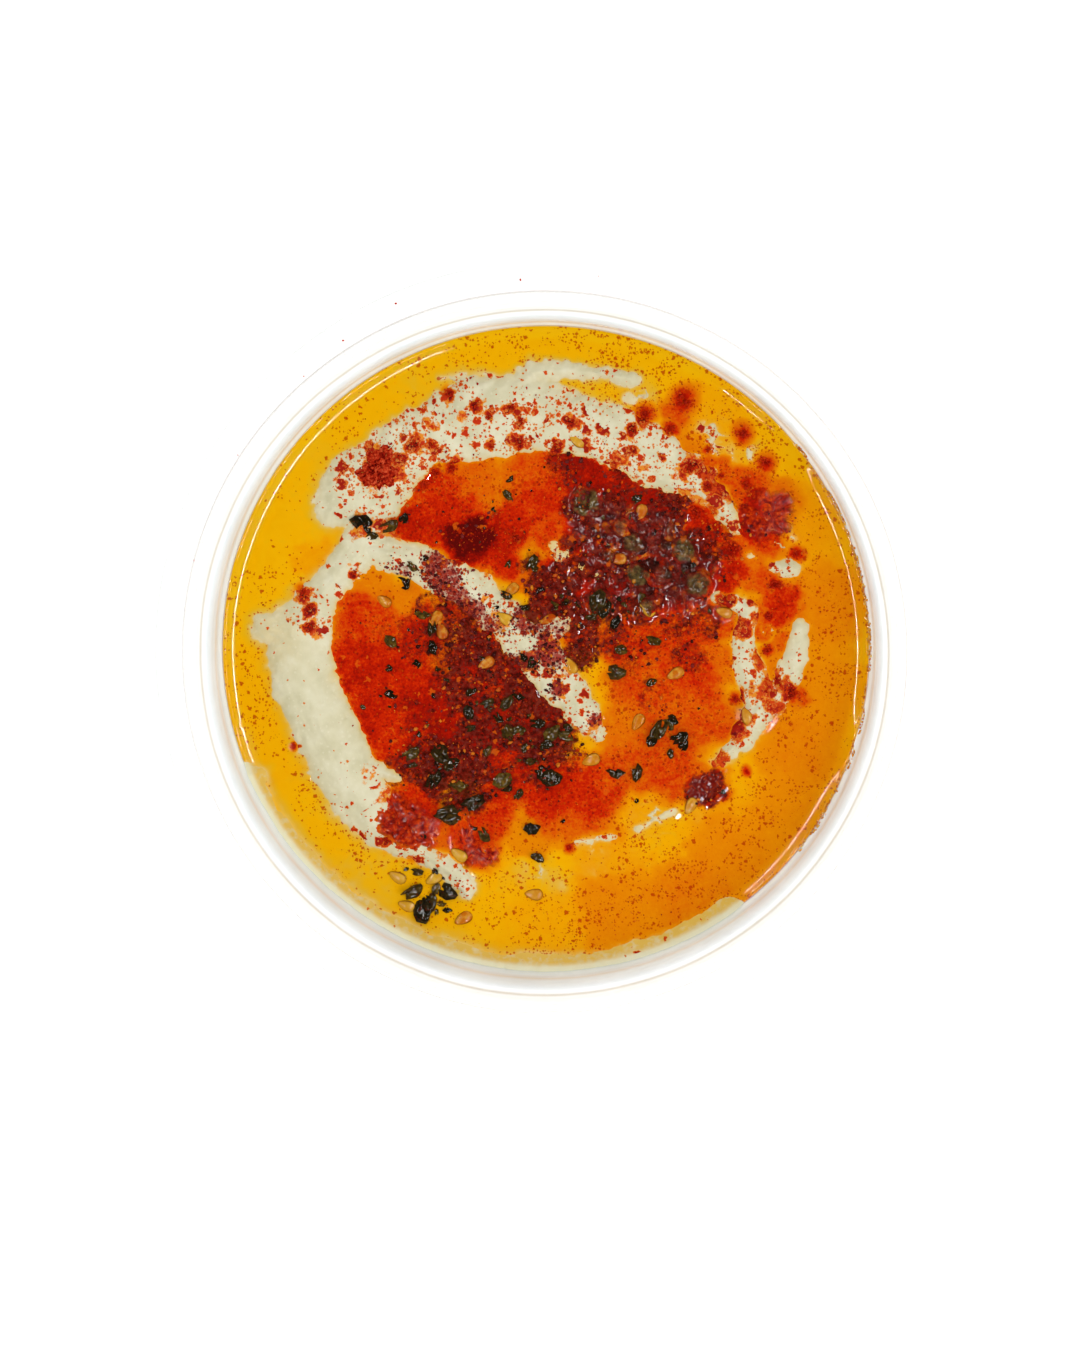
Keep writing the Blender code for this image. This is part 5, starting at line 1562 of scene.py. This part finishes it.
def lay_rim_crumbs():
    """Grains that missed the tub's mouth and landed on the collar."""
    x, y = np.array([(-3.8, 61), (-32.6, 51.2), (-39, 45.4), (-49.9, 32.6), (-57.2, 15.4), (8.9, 61.6),
                     (-24, 57.2)]).T
    count = len(x)
    places = np.column_stack([x, y, np.full(count, FLANGE_HEIGHT + 0.12)])
    return laid("rim_crumbs", places, CHANCE.uniform(0, 6.28, (count, 3)), CHANCE.uniform(0.35, 0.6, count),
                np.arange(count) % 6, CHANCE.uniform(0.1, 0.6, count), CRUMBS, SPECK)


rim_crumbs = lay_rim_crumbs()
flakes = lay_flakes()
seeds = lay_seeds()
heaps = lay_heaps()

# %% [markdown]
# ### Oil on the wall
#
# When the tub was tilted the oil wetted the wall, and it has drained back in drops. On the right they
# still cling above the level. The thin tan line below the lip is part of the plastic's finish.


# %% Drops on the wall
DROPS, DROPS_FROM, DROPS_TO = 900, -41, 40  # how many, and between which angles


def lay_drops():
    count = DROPS
    angle = np.radians(CHANCE.uniform(DROPS_FROM, DROPS_TO, count))
    up = CHANCE.power(0.6, count)
    climb = 0.9 + 2.6 * (1 - up) * soft_step(-0.5, 0.4, mottle(angle * 54, angle * 0, 2.2, 93))
    height = OIL_LEVEL + climb
    radius = wall_radius(height) - 0.12
    places = np.column_stack([radius * np.cos(angle), radius * np.sin(angle), height])
    lean = np.full(count, math.pi / 2)
    turns = np.column_stack([CHANCE.uniform(-0.3, 0.3, count), lean, angle])
    return laid("oil_drops", places, turns, CHANCE.uniform(0.2, 0.75, count) ** 1.2, np.arange(count) % 6,
                CHANCE.uniform(0, 1, count), CRUMBS, SMEAR)


drops = lay_drops()

# %% [markdown]
# ## Putting it together
#
# Every piece rides on the one body, names the solids that it stands for, and says which slot of the
# record its finish belongs to.

# %% Bodies, solids and slots
ROLES = [
    (tub, "clear_plastic", ["tub"]), (hummus, "hummus", ["hummus"]), (oil, "seasoned_oil", ["oil"]),
    (rim_crumbs, "paprika", []), (spice_crumbs, "dark_spice", []), (specks, "paprika", []),
    (crumbs, "paprika", []), (heaps, "paprika", []), (bits, "herb", []), (flakes, "herb", []),
    (seeds, "sesame", []), (drops, "seasoned_oil", []),
]
CLUMP_SLOTS = {"chilli": "chilli_paste", "paprika": "paprika", "spice": "dark_spice"}
for name, made in clumps.items():
    ROLES.append((made, CLUMP_SLOTS[name.split("_")[0]], [name]))
for made, slot, stands_for in ROLES:
    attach(made, "root")
    if stands_for:
        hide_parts(*stands_for)
print(len(ROLES), "pieces,", sum(len(made.data.polygons) for made, *_ in ROLES), "faces")

# %% [markdown]
# ## Floor, lamps and camera
#
# The tub stands on a lit white table, seen from almost straight above. Two narrow lamps, one to the right
# and one to the left, are seen only in reflections and draw the thin white lines on the oil. A square
# lamp, which is never reflected, brings out the relief. Round white walls give the soft light, and to a
# reflection they are dim and the ceiling is dark: an oil surface is a mirror, and this keeps its colour
# deep.


# %% Stage
WALL_LIGHT = 1.0


def make_floor():
    far = 3000
    floor = piece("floor", [(-far, -far, 0), (far, -far, 0), (far, far, 0), (-far, far, 0)], [(0, 1, 2, 3)])
    paper = Finish("white_table", Roughness=0.9)
    paper.shader.inputs["Emission Color"].default_value = (1, 1, 1, 1)
    paper.shader.inputs["Emission Strength"].default_value = 0.55
    weave = paper.ramp(paper.grain(1.5, 3), [(0.3, (0.8, 0.8, 0.8, 1)), (0.7, (0.84, 0.84, 0.84, 1))])
    floor.data.materials.append(paper.wear(Base_Color=weave))
    floor.visible_glossy = False


def lamp_at(name, azimuth, out, up, length, width, brightness, shine):
    """A long lamp aimed at the tub. One that shines is seen only in reflections, the other only lights."""
    lamp = bpy.data.lights.new(name, "AREA")
    lamp.shape, lamp.size, lamp.size_y = "RECTANGLE", length, width
    lamp.energy = brightness * math.pi * length * width
    stand = bpy.data.objects.new(name, lamp)
    bpy.context.scene.collection.objects.link(stand)
    stand.visible_diffuse, stand.visible_glossy = not shine, shine
    azimuth = math.radians(azimuth)
    place = Vector((out * math.cos(azimuth), out * math.sin(azimuth), up))
    along = Vector((-math.sin(azimuth), math.cos(azimuth), 0))
    back = (place - Vector((0, 0, OIL_LEVEL * MM))).normalized()
    facing = Matrix((along, back.cross(along), back)).transposed().to_4x4()
    stand.matrix_world = Matrix.Translation(place) @ facing


def make_walls():
    world = bpy.data.worlds.new("white_walls")
    world.use_nodes = True
    bpy.context.scene.world = world
    tree = world.node_tree
    direction = add_node(tree, "ShaderNodeTexCoord").outputs["Generated"]
    up = add_node(tree, "ShaderNodeSeparateXYZ", {0: direction}).outputs["Z"]
    heights = {"Value": up, "From Min": 0.35, "From Max": 0.75, "To Min": 0.06, "To Max": 0.0}
    mirrored = add_node(tree, "ShaderNodeMapRange", heights, interpolation_type="SMOOTHSTEP").outputs[0]
    shine = add_node(tree, "ShaderNodeLightPath").outputs["Is Glossy Ray"]
    bright = add_node(tree, "ShaderNodeMix", {0: shine, 2: WALL_LIGHT, 3: mirrored},
                      data_type="FLOAT").outputs[0]
    tree.links.new(bright, tree.nodes["Background"].inputs["Strength"])
    tree.nodes["Background"].inputs["Color"].default_value = (1, 1, 1, 1)


def make_camera():
    aim = Vector((-0.57, -3.2, 43)) * MM
    distance, tilt, toward = 0.600, math.radians(6), Vector((0.27, 0.96, 0)).normalized()
    camera = bpy.data.cameras.new("camera")
    camera.sensor_fit, camera.lens = "AUTO", 98.0
    stand = bpy.data.objects.new("camera", camera)
    bpy.context.scene.collection.objects.link(stand)
    place = aim + distance * (math.sin(tilt) * toward + math.cos(tilt) * Vector((0, 0, 1)))
    back = (place - aim).normalized()
    right = Vector((0, 1, 0)).cross(back).normalized()
    turn = Matrix((right, back.cross(right), back)).transposed().to_4x4()
    stand.matrix_world = Matrix.Translation(place) @ turn
    bpy.context.scene.camera = stand


make_floor()
lamp_at("soft_lamp", -25, 0.85, 1.0, 0.6, 0.6, 3.2, False)
lamp_at("window_right", -26, 0.53, 1.0, 1.3, 0.02, 110, True)
lamp_at("window_left", 188, 0.53, 1.0, 1.3, 0.014, 110, True)
make_walls()
make_camera()
bpy.context.scene.view_settings.view_transform = "Standard"
